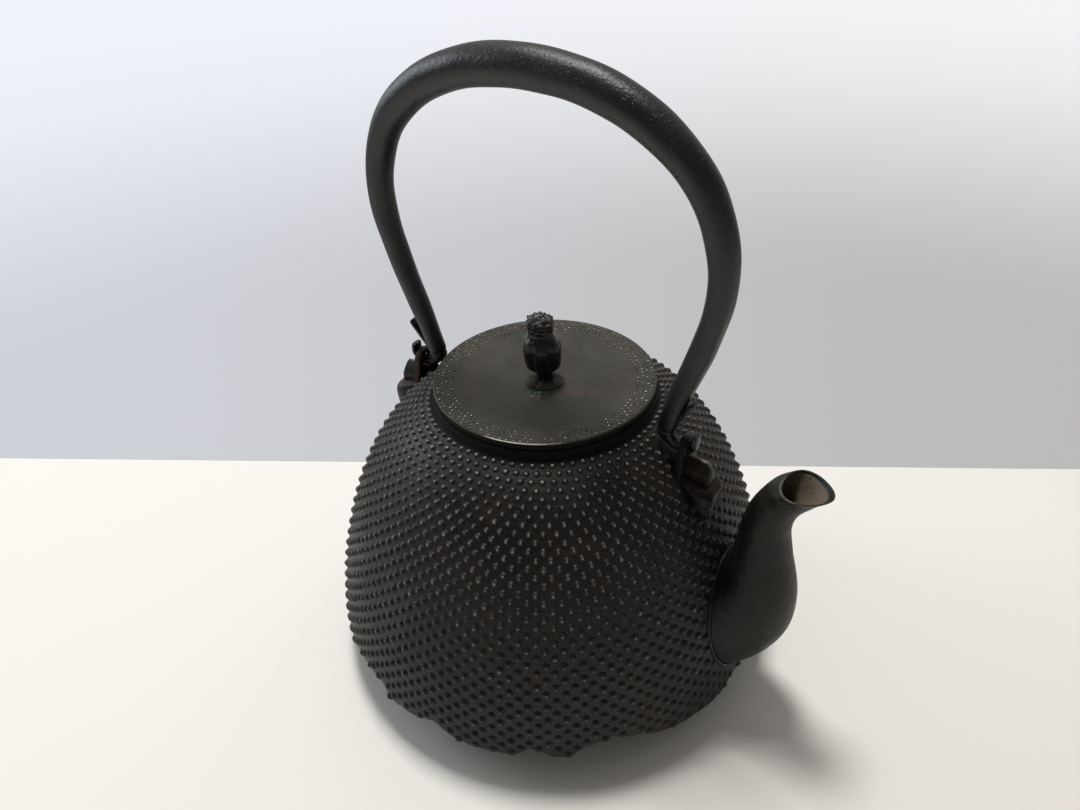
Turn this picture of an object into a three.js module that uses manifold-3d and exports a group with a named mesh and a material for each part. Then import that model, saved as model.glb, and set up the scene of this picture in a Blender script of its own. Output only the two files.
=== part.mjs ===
// Cast iron kettle: domed body with a ragged skirt, set-in bottom, curved spout, two ears that
// carry a hollow swinging handle, and a lift-off lid with a fruit-shaped knob.
// Millimetres, +Z up, +X towards the spout. The origin is on the kettle's axis, on the floor.
import * as THREE from "three";
import { mergeVertices } from "three/addons/utils/BufferGeometryUtils.js";
import Module from "manifold-3d";

const wasm = await Module();
wasm.setup();

// Clearances
const SEAT_GAP = 0.3; // between a piece and the piece that it is set in or rests on
const EYE_CLEARANCE = 0.7; // between the hook's pin and the eye, all round

// Body casting
const HEM_RADIUS = 84.8; // widest outside radius of the dome
const WIDEST_Z = 16.6; // height of the widest place
const DOME_HEIGHT = 100.4; // from the widest place to where the dome's curve would meet the axis
const DOME_RISE = 1.6; // exponent of the curve along the height
const DOME_SWELL = 3.2; // exponent of the curve across the radius
const COLLAR_RADIUS = 40.3; // outside of the upright collar round the mouth
const COLLAR_HEIGHT = 3.1;
const MOUTH_RADIUS = 34.4;
const BODY_WALL = 3.4;
const HEM_WALL = 2.6; // thickness at the torn lower edge

// Torn lower edge of the skirt: azimuth in degrees from the spout, and height above the floor
const HEM_EDGE = [
  [-176, 17.6], [-170, 13.6], [-161, 12.6], [-153, 14.2], [-148, 18.3], [-142, 13.9], [-133, 12.4],
  [-125, 13.4], [-119, 17.2], [-112, 18.1], [-107, 18.6], [-103, 13.6], [-94, 14.9], [-88, 18.1],
  [-82, 13.8], [-78, 12.9], [-68, 13.2], [-62, 17.4], [-57, 13.2], [-54, 12.9], [-50, 17],
  [-43, 20.2], [-37, 17.5], [-30, 13.9], [-22, 12.1], [-11, 11.4], [-4, 15.6], [3, 14.4],
  [11, 12.2], [19, 13.6], [25, 18.2], [32, 14], [41, 12.3], [50, 13.2], [57, 18.8], [65, 14.8],
  [74, 12.1], [84, 13], [91, 17.4], [97, 13.2], [106, 12.2], [115, 14], [122, 18.9], [129, 13.7],
  [139, 12.3], [149, 13.4], [157, 18], [165, 13.2], [174, 12.6],
];

// Bottom pan
const BASE_RADIUS = 45; // flat face that the kettle stands on
const PAN_RADIUS = 70; // outside of the bowl where it meets its flange
const PAN_WALL = 3;
const FLANGE_Z = 24;
const FLANGE_HEIGHT = 4;
const SEAM_HEIGHT = 3.2; // sealing bead on the flange, inside
const SEAM_HOLLOW = 0.42; // share of its height at the middle of the bead's hollow face

// Lid
const LID_SETBACK = 0.3; // how far the lid's rim lies inside the collar's outside
const LID_RIM_THICKNESS = 2.5;
const LID_DISH = 1.8; // how far the lid's middle lies below its rim
const LID_WALL = 2.4;
const LID_CLEARANCE = 1; // between the mouth and the ring below the lid that keeps it there
const LID_SPIGOT_DEPTH = 6;
const LID_SPIGOT_WALL = 2.4;
const LID_EDGE_BREAK = 0.4; // bevel under the rim

// Knob: radius and height of its outline above the seat, and its pin through the lid
const KNOB_PIN_RADIUS = 1.9;
const KNOB_SEAT_RADIUS = 7;
const KNOB_SEAT_THICKNESS = 1.4;
const SEAT_PETALS = 6;
const SEAT_NOTCH = 0.09; // share of the radius between two petals
const SEAT_FLAT = 0.7; // share of the radius at which the seat's top begins to slope
const WASHER_RADIUS = 5.2;
const WASHER_THICKNESS = 1;
const CLINCH_RADIUS = 3.2;
const CLINCH_HEIGHT = 1.4;
const CLINCH_TIP = 0.6; // share of the clinch's radius at its lower end
const CLINCH_SHOULDER = 0.4; // share of its height that stays at the full radius
const KNOB_OUTLINE = [
  [2.7, 0], [2.5, 1.3], [5.2, 3.2], [6, 5.2], [6.3, 7.6], [6.9, 10.2], [6.6, 12.6], [5.4, 15],
  [4.2, 17], [4, 18.6], [4.8, 20.5], [5.2, 22.2], [4.6, 23.7], [2.6, 24.2],
];
const KNOB_NECK_Z = 17.8; // narrowest place of the outline, above the seat
const KNOB_RIBS = 6;
const KNOB_RIB_DEPTH = 0.09; // share of the radius, on the belly
const CROWN_LOBE_DEPTH = 0.2; // share of the radius, on the crown
const CROWN_RUN_IN = 4; // height above the neck over which the lobes reach their full depth

// Handle: half of its centre line from the crown down. Across is a share of the lower end's distance
// from the kettle's axis, and up is the height above the hinge line.
const HANDLE_LINE = [
  [0, 119.5], [0.484, 116.3], [0.878, 107.1], [1.152, 93.4], [1.288, 75.8], [1.298, 60.4],
  [1.208, 41.8], [1.08, 20.3], [1, 5.6],
];
const HANDLE_CROWN_RADIUS = 6.7;
const HANDLE_END_RADIUS = 4.1;
const HANDLE_TAPER = 2.1; // exponent of the taper along the height
const HANDLE_WALL = 1.6;
const HANDLE_LEAN = 1.3; // degrees that the handle leans in the ears, about the hinge line

// Ears and hooks
const EAR_GAP = 14.5; // from the collar's outside to the eye's inner face
const EYE_RISE = 5.93; // height of the eyes' common axis above the shoulder at that face
const EYE_THICKNESS = 2.8;
const EYE_RADIUS = 4.9;
const EYE_FOOT = { drop: 14, flare: 3 }; // how far the eye's foot lies below its axis and spreads
const NOSE_RADIUS = 4.3; // rounded boss that runs outwards under the eye
const NOSE_DROP = 7.7; // from the eyes' axis down to the boss's own axis
const NOSE_REACH = 14; // from the eye's inner face to the boss's tip
// Leaf that flares off the shoulder: out from the eye's inner face, as a share of the leaf's reach,
// and up from the shoulder at that place
const EAR_LEAF = [
  { inner: [0.011, -8.5], outer: [0.148, 1.1], half: 7 },
  { inner: [0.261, -4.5], outer: [0.375, 3.1], half: 8.2 },
  { inner: [0.523, -1.3], outer: [0.625, 5.4], half: 8.4 },
  { inner: [0.784, 2.7], outer: [0.875, 8.9], half: 6.8 },
  { inner: [0.932, 6.1], outer: [1, 10.8], half: 3.4 },
];
const LEAF_CLEARANCE = 0.6; // between the leaf's tip and the spout's root
const PIN_RADIUS = 1.9;
const TAB_GAP = 0.6; // between the eye and the hook's upturned tab
const TAB_THICKNESS = 2.2;
const TAB_WIDTH = 4.8;
const TAB_HEIGHT = { front: 19.5, rear: 12 }; // above the hinge line
const TAB_LEAN = { front: 2, rear: 11 }; // degrees outwards from upright
const PLUG_DEPTH = 12; // how far the hook reaches into the handle
const SHANK_SHOULDER = 1.6; // full-width part of the shank below the handle's end
const ELBOW_GAP = 3.4; // from the shank's foot to the eye's inner face
const HANDLE_INSET = 4.8; // from the handle's lower end to the eye's inner face, inwards

// Spout: inner and outer side of each section in the plane of the handle, out from the body's widest
// radius and up from its widest place, and half the section's width
const SPOUT_SECTIONS = [
  { inner: [-26.8, 55.4], outer: [-22.8, 0.4], half: 17 },
  { inner: [-15.8, 57.4], outer: [-5.8, 0.9], half: 16.5 },
  { inner: [-11.8, 60.9], outer: [5.8, 9.9], half: 15.3 },
  { inner: [-9.8, 64.4], outer: [14, 24.9], half: 13.8 },
  { inner: [-8.2, 68.4], outer: [16, 41.4], half: 11.8 },
  { inner: [-6.4, 73.8], outer: [13, 59.4], half: 9 },
  { inner: [-3.8, 80], outer: [10.8, 70], half: 7.5 },
  { inner: [-0.2, 85.6], outer: [12.8, 78], half: 7.3 },
  { inner: [2.6, 89], outer: [17.8, 84.8], half: 8 },
  { inner: [5.1, 90.8], outer: [22, 89.8], half: 8.95 },
];
const SPOUT_WALL = 2;

// Fineness of the curved surfaces
const TURN_STEPS = 96; // round the body
const SMALL_TURN_STEPS = 48; // round the lid and the pan
const TUBE_SIDES = 16;
const HANDLE_STEPS = 36;
const SPOUT_STEPS = 18;
const BODY_STEPS = 10; // from the collar down to the torn edge
const STEP_SPREAD = 1.15; // above 1, the steps are closer together near the collar
const PAN_STEPS = 6; // along the bowl's side
const KNOB_SIDES = 24;
const KNOB_STEPS = 20;
const STEPS_PER_PETAL = 8;
const LID_TOP_SHARES = [1, 0.75, 0.4]; // shares of the radius at which the dished top has a ring
const LID_UNDER_SHARE = 0.5;
const CURVE_STEPS = 24; // round a plate's rounded end
const SMALL_CURVE_STEPS = 8;
const CAP_STEPS = 5;
const MERGE_DISTANCE = 1e-4;

// Places that follow from the sizes above
const COLLAR_FOOT_Z = domeHeightAt(COLLAR_RADIUS);
const COLLAR_TOP_Z = COLLAR_FOOT_Z + COLLAR_HEIGHT;
const LID_RADIUS = COLLAR_RADIUS - LID_SETBACK;
const LID_SPIGOT_RADIUS = MOUTH_RADIUS - LID_CLEARANCE;
const LID_UNDER_Z = COLLAR_TOP_Z + SEAT_GAP;
const LID_TOP_Z = LID_UNDER_Z + LID_RIM_THICKNESS;
const LID_MIDDLE_Z = LID_TOP_Z - LID_DISH;
const EYE_INNER_X = COLLAR_RADIUS + EAR_GAP;
const SHOULDER_Z = domeHeightAt(EYE_INNER_X);
const HINGE_Z = SHOULDER_Z + EYE_RISE;
const SPOUT_ROOT_X = HEM_RADIUS + SPOUT_SECTIONS[2].inner[0]; // where its top leaves the body
const LEAF_REACH = SPOUT_ROOT_X - LEAF_CLEARANCE - EYE_INNER_X;
const TAB_X = EYE_INNER_X + EYE_THICKNESS + TAB_GAP + TAB_THICKNESS / 2;
const TAU = 2 * Math.PI;

// Outside radius of the dome at a height, a superellipse of the two exponents.
function domeRadius(z) {
  const rise = Math.max(0, (z - WIDEST_Z) / DOME_HEIGHT);
  return HEM_RADIUS * Math.pow(1 - Math.pow(rise, DOME_RISE), 1 / DOME_SWELL);
}

// Height at which the dome has an outside radius, the same curve solved for the height.
function domeHeightAt(radius) {
  const swell = Math.pow(radius / HEM_RADIUS, DOME_SWELL);
  return WIDEST_Z + DOME_HEIGHT * Math.pow(1 - swell, 1 / DOME_RISE);
}

// Point of the dome's section at a height, moved inwards square to the surface.
function domePoint(z, inwards) {
  const step = 0.01;
  const slope = (domeRadius(z + step) - domeRadius(z)) / step;
  const long = Math.hypot(1, slope);
  return [domeRadius(z) - inwards / long, z + (inwards * slope) / long];
}

// Thickness of the wall at a height: full from the pan's flange up, thinner towards the torn edge.
function wallAt(z) {
  return HEM_WALL + (BODY_WALL - HEM_WALL) * THREE.MathUtils.smoothstep(z, WIDEST_Z, FLANGE_Z);
}

// Height of the torn edge at an azimuth, with smooth steps between its listed points.
function hemHeight(degrees) {
  const count = HEM_EDGE.length;
  for (let i = 0; i < count; i++) {
    const [from, low] = HEM_EDGE[i];
    const [next, high] = HEM_EDGE[(i + 1) % count];
    const span = next > from ? next - from : next + 360 - from;
    const along = (degrees - from + 720) % 360;
    if (along <= span) return low + (high - low) * THREE.MathUtils.smoothstep(along, 0, span);
  }
  return HEM_EDGE[0][1];
}

// Closed skin through rings of points. Each ring joins the next; the last joins the first again,
// or both end rings are closed by a fan to their middle point.
function skin(rings, joinEnds) {
  const sides = rings[0].length;
  const points = rings.flat();
  const faces = [];
  const quads = joinEnds ? rings.length : rings.length - 1;
  for (let i = 0; i < quads; i++) {
    const low = i * sides;
    const high = ((i + 1) % rings.length) * sides;
    for (let j = 0; j < sides; j++) {
      const k = (j + 1) % sides;
      faces.push(low + j, low + k, high + k, low + j, high + k, high + j);
    }
  }
  if (!joinEnds) {
    [rings[0], rings[rings.length - 1]].forEach((ring, end) => {
      const middle = ring.reduce((sum, p) => sum.add(p), new THREE.Vector3()).divideScalar(sides);
      const tip = points.push(middle) - 1;
      const first = end ? (rings.length - 1) * sides : 0;
      for (let j = 0; j < sides; j++) {
        const pair = [first + j, first + ((j + 1) % sides)];
        faces.push(tip, pair[end ? 0 : 1], pair[end ? 1 : 0]);
      }
    });
  }
  const geometry = new THREE.BufferGeometry().setFromPoints(points);
  geometry.setIndex(faces);
  return geometry;
}

// Solid for joining and cutting, with its faces turned outwards.
function solid(geometry) {
  const bare = geometry.clone();
  bare.deleteAttribute("normal");
  bare.deleteAttribute("uv");
  const merged = mergeVertices(bare, MERGE_DISTANCE);
  const vertices = new Float32Array(merged.attributes.position.array);
  const turned = [];
  const index = merged.index.array;
  for (let i = 0; i < index.length; i += 3) {
    const [a, b, c] = [index[i], index[i + 1], index[i + 2]];
    if (a !== b && b !== c && c !== a) turned.push(a, b, c);
  }
  const make = (triangles) =>
    new wasm.Manifold(
      new wasm.Mesh({
        numProp: 3,
        vertProperties: vertices,
        triVerts: new Uint32Array(triangles),
      }),
    );
  const made = make(turned);
  return made.volume() > 0 ? made : make(turned.slice().reverse());
}

// Geometry of a solid, with flat faces.
function geometryOf(body) {
  const { vertProperties, triVerts, numProp } = body.getMesh();
  const points = [];
  for (let i = 0; i < vertProperties.length; i += numProp) {
    points.push(new THREE.Vector3(...vertProperties.subarray(i, i + 3)));
  }
  const indexed = new THREE.BufferGeometry().setFromPoints(points);
  indexed.setIndex(new THREE.BufferAttribute(triVerts, 1));
  const geometry = indexed.toNonIndexed();
  geometry.computeVertexNormals();
  return geometry;
}

// Profile of [radius, height] pairs turned round the Z axis.
function turned(profile, steps = SMALL_TURN_STEPS) {
  const points = profile.map(([r, z]) => new THREE.Vector2(r, z));
  return new THREE.LatheGeometry(points, steps).rotateX(Math.PI / 2);
}

// Ring of points on an ellipse between two opposite points, with a half width across them.
function ellipseBetween(inner, outer, half, across, sides) {
  const middle = inner.clone().add(outer).divideScalar(2);
  const reach = outer.clone().sub(middle);
  return Array.from({ length: sides }, (_, i) => {
    const turn = (TAU * i) / sides;
    return middle
      .clone()
      .addScaledVector(reach, Math.cos(turn))
      .addScaledVector(across, half * Math.sin(turn));
  });
}

// Plate with its outline in the YZ plane, made thick along X from startX.
function plateAcross(shape, startX, thickness, curveSegments = CURVE_STEPS) {
  const settings = { depth: thickness, bevelEnabled: false, curveSegments };
  return new THREE.ExtrudeGeometry(shape, settings)
    .applyMatrix4(new THREE.Matrix4().makeBasis(
      new THREE.Vector3(0, 1, 0),
      new THREE.Vector3(0, 0, 1),
      new THREE.Vector3(1, 0, 0),
    ))
    .translate(startX, 0, 0);
}

// Solid under the dome's surface, which is moved inwards by an amount, or outwards if negative.
function domeSolid(inwards, topZ) {
  const steps = 2 * BODY_STEPS;
  const profile = [[0, 0]];
  for (let i = 0; i <= steps; i++) profile.push(domePoint((COLLAR_FOOT_Z * i) / steps, inwards));
  const [lastRadius] = profile[profile.length - 1];
  profile.push([lastRadius, topZ], [0, topZ]);
  return solid(turned(profile, TURN_STEPS));
}

// Cross-section of the body at one azimuth: mouth, collar, outside down to the torn edge, and back
// up the inside.
function bodySection(turn) {
  const degrees = THREE.MathUtils.radToDeg(turn);
  const edge = hemHeight(degrees > 180 ? degrees - 360 : degrees);
  const heights = Array.from({ length: BODY_STEPS + 1 }, (_, i) => {
    return COLLAR_FOOT_Z + (edge - COLLAR_FOOT_Z) * Math.pow(i / BODY_STEPS, STEP_SPREAD);
  });
  const outside = heights.map((z) => domePoint(z, 0));
  const inside = heights.map((z) => domePoint(z, wallAt(z))).reverse();
  const mouth = [
    [MOUTH_RADIUS, COLLAR_FOOT_Z - BODY_WALL],
    [MOUTH_RADIUS, COLLAR_TOP_Z],
    [COLLAR_RADIUS, COLLAR_TOP_Z],
  ];
  return [...mouth, ...outside, ...inside].map(
    ([r, z]) => new THREE.Vector3(r * Math.cos(turn), r * Math.sin(turn), z),
  );
}

// Spout body through its sections, from inside the wall to the mouth, grown by an amount and carried
// on past the mouth by an overrun.
function spoutSkin(grow, overrun = 0) {
  const curveOf = (pick) => new THREE.CatmullRomCurve3(SPOUT_SECTIONS.map(pick));
  const pointAt = ([out, up]) => new THREE.Vector3(HEM_RADIUS + out, 0, WIDEST_Z + up);
  const innerLine = curveOf((s) => pointAt(s.inner));
  const outerLine = curveOf((s) => pointAt(s.outer));
  const widths = curveOf((s) => new THREE.Vector3(s.half, 0, 0));
  const across = new THREE.Vector3(0, 1, 0);
  const rings = [];
  for (let i = 0; i <= SPOUT_STEPS; i++) {
    const t = i / SPOUT_STEPS;
    const inner = innerLine.getPoint(t);
    const outer = outerLine.getPoint(t);
    const out = outer.clone().sub(inner).normalize();
    inner.addScaledVector(out, -grow);
    outer.addScaledVector(out, grow);
    rings.push(ellipseBetween(inner, outer, widths.getPoint(t).x + grow, across, TUBE_SIDES));
  }
  if (overrun > 0) {
    const last = rings[rings.length - 1];
    const before = rings[rings.length - 2];
    rings.push(last.map((p, i) => p.clone().sub(before[i]).setLength(overrun).add(p)));
  }
  return solid(skin(rings, false));
}

// Body casting with its hole for the spout.
function bodyShell() {
  const rings = Array.from({ length: TURN_STEPS }, (_, i) => bodySection((TAU * i) / TURN_STEPS));
  return solid(skin(rings, true)).subtract(spoutSkin(SEAT_GAP));
}

// Hollow spout, trimmed level with the inside of the wall.
function spout() {
  const bore = spoutSkin(-SPOUT_WALL, 2 * SPOUT_WALL);
  return spoutSkin(0).subtract(bore).subtract(domeSolid(BODY_WALL, COLLAR_FOOT_Z));
}

// Inside radius of the wall beside the pan's flange and seam, less the seat gap.
function flangeRadius() {
  const [radius] = domePoint(FLANGE_Z + FLANGE_HEIGHT + SEAM_HEIGHT + 2 * SEAT_GAP, BODY_WALL);
  return radius - SEAT_GAP;
}

// Bottom pan: flat base, bowl, and a flange that fits inside the skirt.
function bottomPan() {
  const bowl = new THREE.QuadraticBezierCurve(
    new THREE.Vector2(BASE_RADIUS, 0),
    new THREE.Vector2(PAN_RADIUS - PAN_WALL, PAN_WALL),
    new THREE.Vector2(PAN_RADIUS, FLANGE_Z),
  ).getPoints(PAN_STEPS);
  const top = FLANGE_Z + FLANGE_HEIGHT;
  const under = bowl.map((p) => [p.x, p.y]);
  const over = bowl.map((p) => [p.x - PAN_WALL * (p.y / FLANGE_Z), p.y + PAN_WALL]).reverse();
  over[0] = [PAN_RADIUS - PAN_WALL, top];
  const edge = flangeRadius();
  return turned([[0, 0], ...under, [edge, FLANGE_Z], [edge, top], ...over, [0, PAN_WALL]]);
}

// Sealing bead with a hollow face, in the corner between the flange and the body.
function bottomSeam() {
  const z = FLANGE_Z + FLANGE_HEIGHT + SEAT_GAP;
  const corner = flangeRadius();
  const hollow = SEAM_HOLLOW * SEAM_HEIGHT;
  return turned([
    [corner - SEAM_HEIGHT, z],
    [corner, z],
    [corner, z + SEAM_HEIGHT],
    [corner - hollow, z + hollow],
    [corner - SEAM_HEIGHT, z],
  ]);
}

// Dished lid with a spigot ring below and a hole for the knob's pin.
function lidPlate() {
  const hole = KNOB_PIN_RADIUS + SEAT_GAP;
  const dish = (r) => LID_TOP_Z - LID_DISH * (1 - Math.pow(r / LID_RADIUS, 2));
  const spigotEnd = LID_UNDER_Z - LID_SPIGOT_DEPTH;
  const spigotInner = LID_SPIGOT_RADIUS - LID_SPIGOT_WALL;
  const top = LID_TOP_SHARES.map((share) => [share * LID_RADIUS, dish(share * LID_RADIUS)]);
  const underRadius = LID_UNDER_SHARE * LID_RADIUS;
  return turned([
    [hole, dish(hole) - LID_WALL],
    [underRadius, dish(underRadius) - LID_WALL],
    [spigotInner, dish(spigotInner) - LID_WALL],
    [spigotInner, spigotEnd],
    [LID_SPIGOT_RADIUS, spigotEnd],
    [LID_SPIGOT_RADIUS, LID_UNDER_Z],
    [LID_RADIUS - LID_EDGE_BREAK, LID_UNDER_Z],
    [LID_RADIUS, LID_UNDER_Z + LID_EDGE_BREAK],
    ...top,
    [hole, dish(hole)],
    [hole, dish(hole) - LID_WALL],
  ]);
}

// Flower-shaped washer between the lid and the knob.
function knobSeat() {
  const steps = STEPS_PER_PETAL * SEAT_PETALS;
  const low = LID_MIDDLE_Z + SEAT_GAP;
  const top = low + KNOB_SEAT_THICKNESS;
  const hole = KNOB_PIN_RADIUS + SEAT_GAP;
  const rings = Array.from({ length: steps }, (_, i) => {
    const turn = (TAU * i) / steps;
    const notch = 1 - Math.abs(Math.cos((SEAT_PETALS / 2) * turn));
    const edge = KNOB_SEAT_RADIUS * (1 - SEAT_NOTCH * notch);
    const section = [
      [hole, low],
      [edge, low],
      [edge, low + KNOB_SEAT_THICKNESS / 2],
      [edge * SEAT_FLAT, top],
      [hole, top],
    ];
    return section.map(([r, z]) => new THREE.Vector3(r * Math.cos(turn), r * Math.sin(turn), z));
  });
  return skin(rings, true);
}

// Fruit-shaped knob: ribbed belly, neck, lobed crown, and a pin down through the lid.
function knob() {
  const foot = LID_MIDDLE_Z + KNOB_SEAT_THICKNESS + 2 * SEAT_GAP;
  const pinEnd = LID_MIDDLE_Z - LID_WALL - SEAT_GAP - WASHER_THICKNESS - SEAT_GAP;
  const line = new THREE.CatmullRomCurve3(
    KNOB_OUTLINE.map(([r, z]) => new THREE.Vector3(r, 0, z)),
  ).getPoints(KNOB_STEPS);
  const ring = (radius, z, depth) =>
    Array.from({ length: KNOB_SIDES }, (_, i) => {
      const turn = (TAU * i) / KNOB_SIDES;
      const r = radius * (1 - depth * (0.5 - 0.5 * Math.cos(KNOB_RIBS * turn)));
      return new THREE.Vector3(r * Math.cos(turn), r * Math.sin(turn), z);
    });
  const rings = [
    ring(CLINCH_RADIUS * CLINCH_TIP, pinEnd - CLINCH_HEIGHT, 0),
    ring(CLINCH_RADIUS, pinEnd - CLINCH_HEIGHT * CLINCH_SHOULDER, 0),
    ring(CLINCH_RADIUS, pinEnd, 0),
    ring(KNOB_PIN_RADIUS, pinEnd, 0),
    ring(KNOB_PIN_RADIUS, foot, 0),
  ];
  line.forEach(({ x, z }) => {
    const belly = Math.max(0, Math.sin((Math.PI * Math.min(z, KNOB_NECK_Z)) / KNOB_NECK_Z));
    const crown = THREE.MathUtils.smoothstep(z, KNOB_NECK_Z, KNOB_NECK_Z + CROWN_RUN_IN);
    rings.push(ring(x, foot + z, KNOB_RIB_DEPTH * belly + CROWN_LOBE_DEPTH * crown));
  });
  return skin(rings, false);
}

// Washer under the lid, on the knob's pin.
function knobWasher() {
  const top = LID_MIDDLE_Z - LID_WALL - SEAT_GAP;
  const hole = KNOB_PIN_RADIUS + SEAT_GAP;
  const low = top - WASHER_THICKNESS;
  const section = [[hole, low], [WASHER_RADIUS, low], [WASHER_RADIUS, top], [hole, top], [hole, low]];
  return turned(section, KNOB_SIDES);
}

// Handle's centre line from one lower end over the crown to the other.
function handleCurve() {
  const endX = EYE_INNER_X - HANDLE_INSET;
  const half = HANDLE_LINE.map(([across, up]) => new THREE.Vector3(across * endX, 0, HINGE_Z + up));
  const other = half.slice(1).map((p) => new THREE.Vector3(-p.x, 0, p.z));
  return new THREE.CatmullRomCurve3([...other.reverse(), ...half], false, "centripetal");
}

// Outside radius of the handle at a height, thickest at the crown.
function handleRadius(z) {
  const [, crownUp] = HANDLE_LINE[0];
  const [, endUp] = HANDLE_LINE[HANDLE_LINE.length - 1];
  const rise = Math.max(0, (z - HINGE_Z - endUp) / (crownUp - endUp));
  const swell = HANDLE_CROWN_RADIUS - HANDLE_END_RADIUS;
  return HANDLE_END_RADIUS + swell * Math.pow(rise, HANDLE_TAPER);
}

// Tube wall of the handle, open at both ends, as rings that run round outside and back inside.
function handleTube() {
  const curve = handleCurve();
  const across = new THREE.Vector3(0, 1, 0);
  const ringAt = (t, radius) => {
    const centre = curve.getPointAt(t);
    const side = curve.getTangentAt(t).cross(across).multiplyScalar(radius);
    return ellipseBetween(centre.clone().sub(side), centre.clone().add(side), radius, across, TUBE_SIDES);
  };
  const outside = [];
  const inside = [];
  for (let i = 0; i <= HANDLE_STEPS; i++) {
    const t = i / HANDLE_STEPS;
    const radius = handleRadius(curve.getPointAt(t).z);
    outside.push(ringAt(t, radius));
    inside.push(ringAt(t, radius - HANDLE_WALL));
  }
  return skin([...outside, ...inside.reverse()], true);
}

// Hook at one end of the handle: a plug inside the tube, a shank down to the hinge line, a pin
// through the ear's eye, and a flat tab turned up outside it. The spout side has x positive.
function handleHook(tabHeight, tabLean) {
  const curve = handleCurve();
  const down = curve.getTangentAt(1);
  const end = curve.getPointAt(1);
  const inTube = (depth) => curve.getPointAt(1 - depth / curve.getLength());
  const below = (distance) => end.clone().addScaledVector(down, distance);
  const bore = HANDLE_END_RADIUS - HANDLE_WALL - SEAT_GAP;
  const across = new THREE.Vector3(0, 1, 0);
  const ring = (centre, radius) => {
    const side = down.clone().cross(across).multiplyScalar(radius);
    const [from, to] = [centre.clone().sub(side), centre.clone().add(side)];
    return ellipseBetween(from, to, radius, across, TUBE_SIDES);
  };
  const elbow = new THREE.Vector3(EYE_INNER_X - ELBOW_GAP, 0, HINGE_Z + PIN_RADIUS / 2);
  const shank = solid(skin([
    ring(inTube(PLUG_DEPTH), bore),
    ring(inTube(PLUG_DEPTH / 2), bore),
    ring(below(SEAT_GAP), bore),
    ring(below(SEAT_GAP), HANDLE_END_RADIUS),
    ring(below(SHANK_SHOULDER), HANDLE_END_RADIUS),
    ring(elbow, PIN_RADIUS),
  ], false));

  const pinLength = TAB_X - TAB_THICKNESS / 2 - elbow.x;
  const pin = solid(
    new THREE.CapsuleGeometry(PIN_RADIUS, pinLength, CAP_STEPS, TUBE_SIDES)
      .rotateZ(Math.PI / 2)
      .translate(elbow.x + pinLength / 2, 0, HINGE_Z),
  );

  const half = TAB_WIDTH / 2;
  const outline = new THREE.Shape();
  outline.moveTo(-half, 0);
  outline.lineTo(half, 0);
  outline.lineTo(half, tabHeight - half);
  outline.absarc(0, tabHeight - half, half, 0, Math.PI, false);
  const tab = solid(
    plateAcross(outline, -TAB_THICKNESS / 2, TAB_THICKNESS, SMALL_CURVE_STEPS)
      .rotateY(THREE.MathUtils.degToRad(tabLean))
      .translate(TAB_X, 0, HINGE_Z),
  );
  return geometryOf(shank.add(pin).add(tab));
}

// Ear on the spout side: upright eye, rounded nose below it and a leaf that flares off the
// shoulder, all trimmed to the dome.
function ear() {
  const eye = new THREE.Shape();
  const foot = { z: HINGE_Z - EYE_FOOT.drop, half: EYE_RADIUS + EYE_FOOT.flare };
  eye.moveTo(-foot.half, foot.z);
  eye.lineTo(foot.half, foot.z);
  eye.lineTo(EYE_RADIUS, HINGE_Z);
  eye.absarc(0, HINGE_Z, EYE_RADIUS, 0, Math.PI, false);
  eye.lineTo(-foot.half, foot.z);
  const hole = new THREE.Path();
  hole.absarc(0, HINGE_Z, PIN_RADIUS + EYE_CLEARANCE, 0, TAU, true);
  eye.holes.push(hole);
  const upright = solid(plateAcross(eye, EYE_INNER_X, EYE_THICKNESS));

  const across = new THREE.Vector3(0, 1, 0);
  const pointAt = ([out, up]) => {
    const x = EYE_INNER_X + out * LEAF_REACH;
    return new THREE.Vector3(x, 0, domeHeightAt(x) + up);
  };
  const leaf = solid(skin(EAR_LEAF.map(({ inner, outer, half }) => {
    return ellipseBetween(pointAt(inner), pointAt(outer), half, across, TUBE_SIDES);
  }), false));

  const noseLength = NOSE_REACH - 2 * NOSE_RADIUS;
  const nose = solid(
    new THREE.CapsuleGeometry(NOSE_RADIUS, noseLength, CAP_STEPS, TUBE_SIDES)
      .rotateZ(Math.PI / 2)
      .translate(EYE_INNER_X + NOSE_REACH / 2, 0, HINGE_Z - NOSE_DROP),
  );
  return upright.add(leaf).add(nose).subtract(domeSolid(-SEAT_GAP, COLLAR_TOP_Z));
}

// Finish of each piece
const IRON = { color: 0x2c2927, roughness: 0.62, metalness: 0.75 };
const HANDLE_IRON = { color: 0x26262a, roughness: 0.45, metalness: 0.8 };
const LID_IRON = { color: 0x3b3a34, roughness: 0.6, metalness: 0.7 };
const BRONZE = { color: 0x1d1b18, roughness: 0.35, metalness: 0.9 };
const SEAL = { color: 0x1f1a17, roughness: 0.8, metalness: 0.1 };

const kettle = new THREE.Group();

// Adds a piece as a mesh of its own name.
function place(name, shape, finish, parent = kettle) {
  const body = shape.isBufferGeometry ? solid(shape) : shape;
  const mesh = new THREE.Mesh(geometryOf(body), new THREE.MeshStandardMaterial(finish));
  mesh.name = name;
  parent.add(mesh);
}

place("body_shell", bodyShell(), IRON);
place("bottom_pan", bottomPan(), IRON);
place("bottom_seam", bottomSeam(), SEAL);
place("spout", spout(), IRON);
place("ear_front", ear(), IRON);
place("ear_rear", solid(geometryOf(ear()).rotateZ(Math.PI)), IRON);
place("lid_plate", lidPlate(), LID_IRON);
place("knob_seat", knobSeat(), BRONZE);
place("knob", knob(), BRONZE);
place("knob_washer", knobWasher(), BRONZE);

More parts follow.
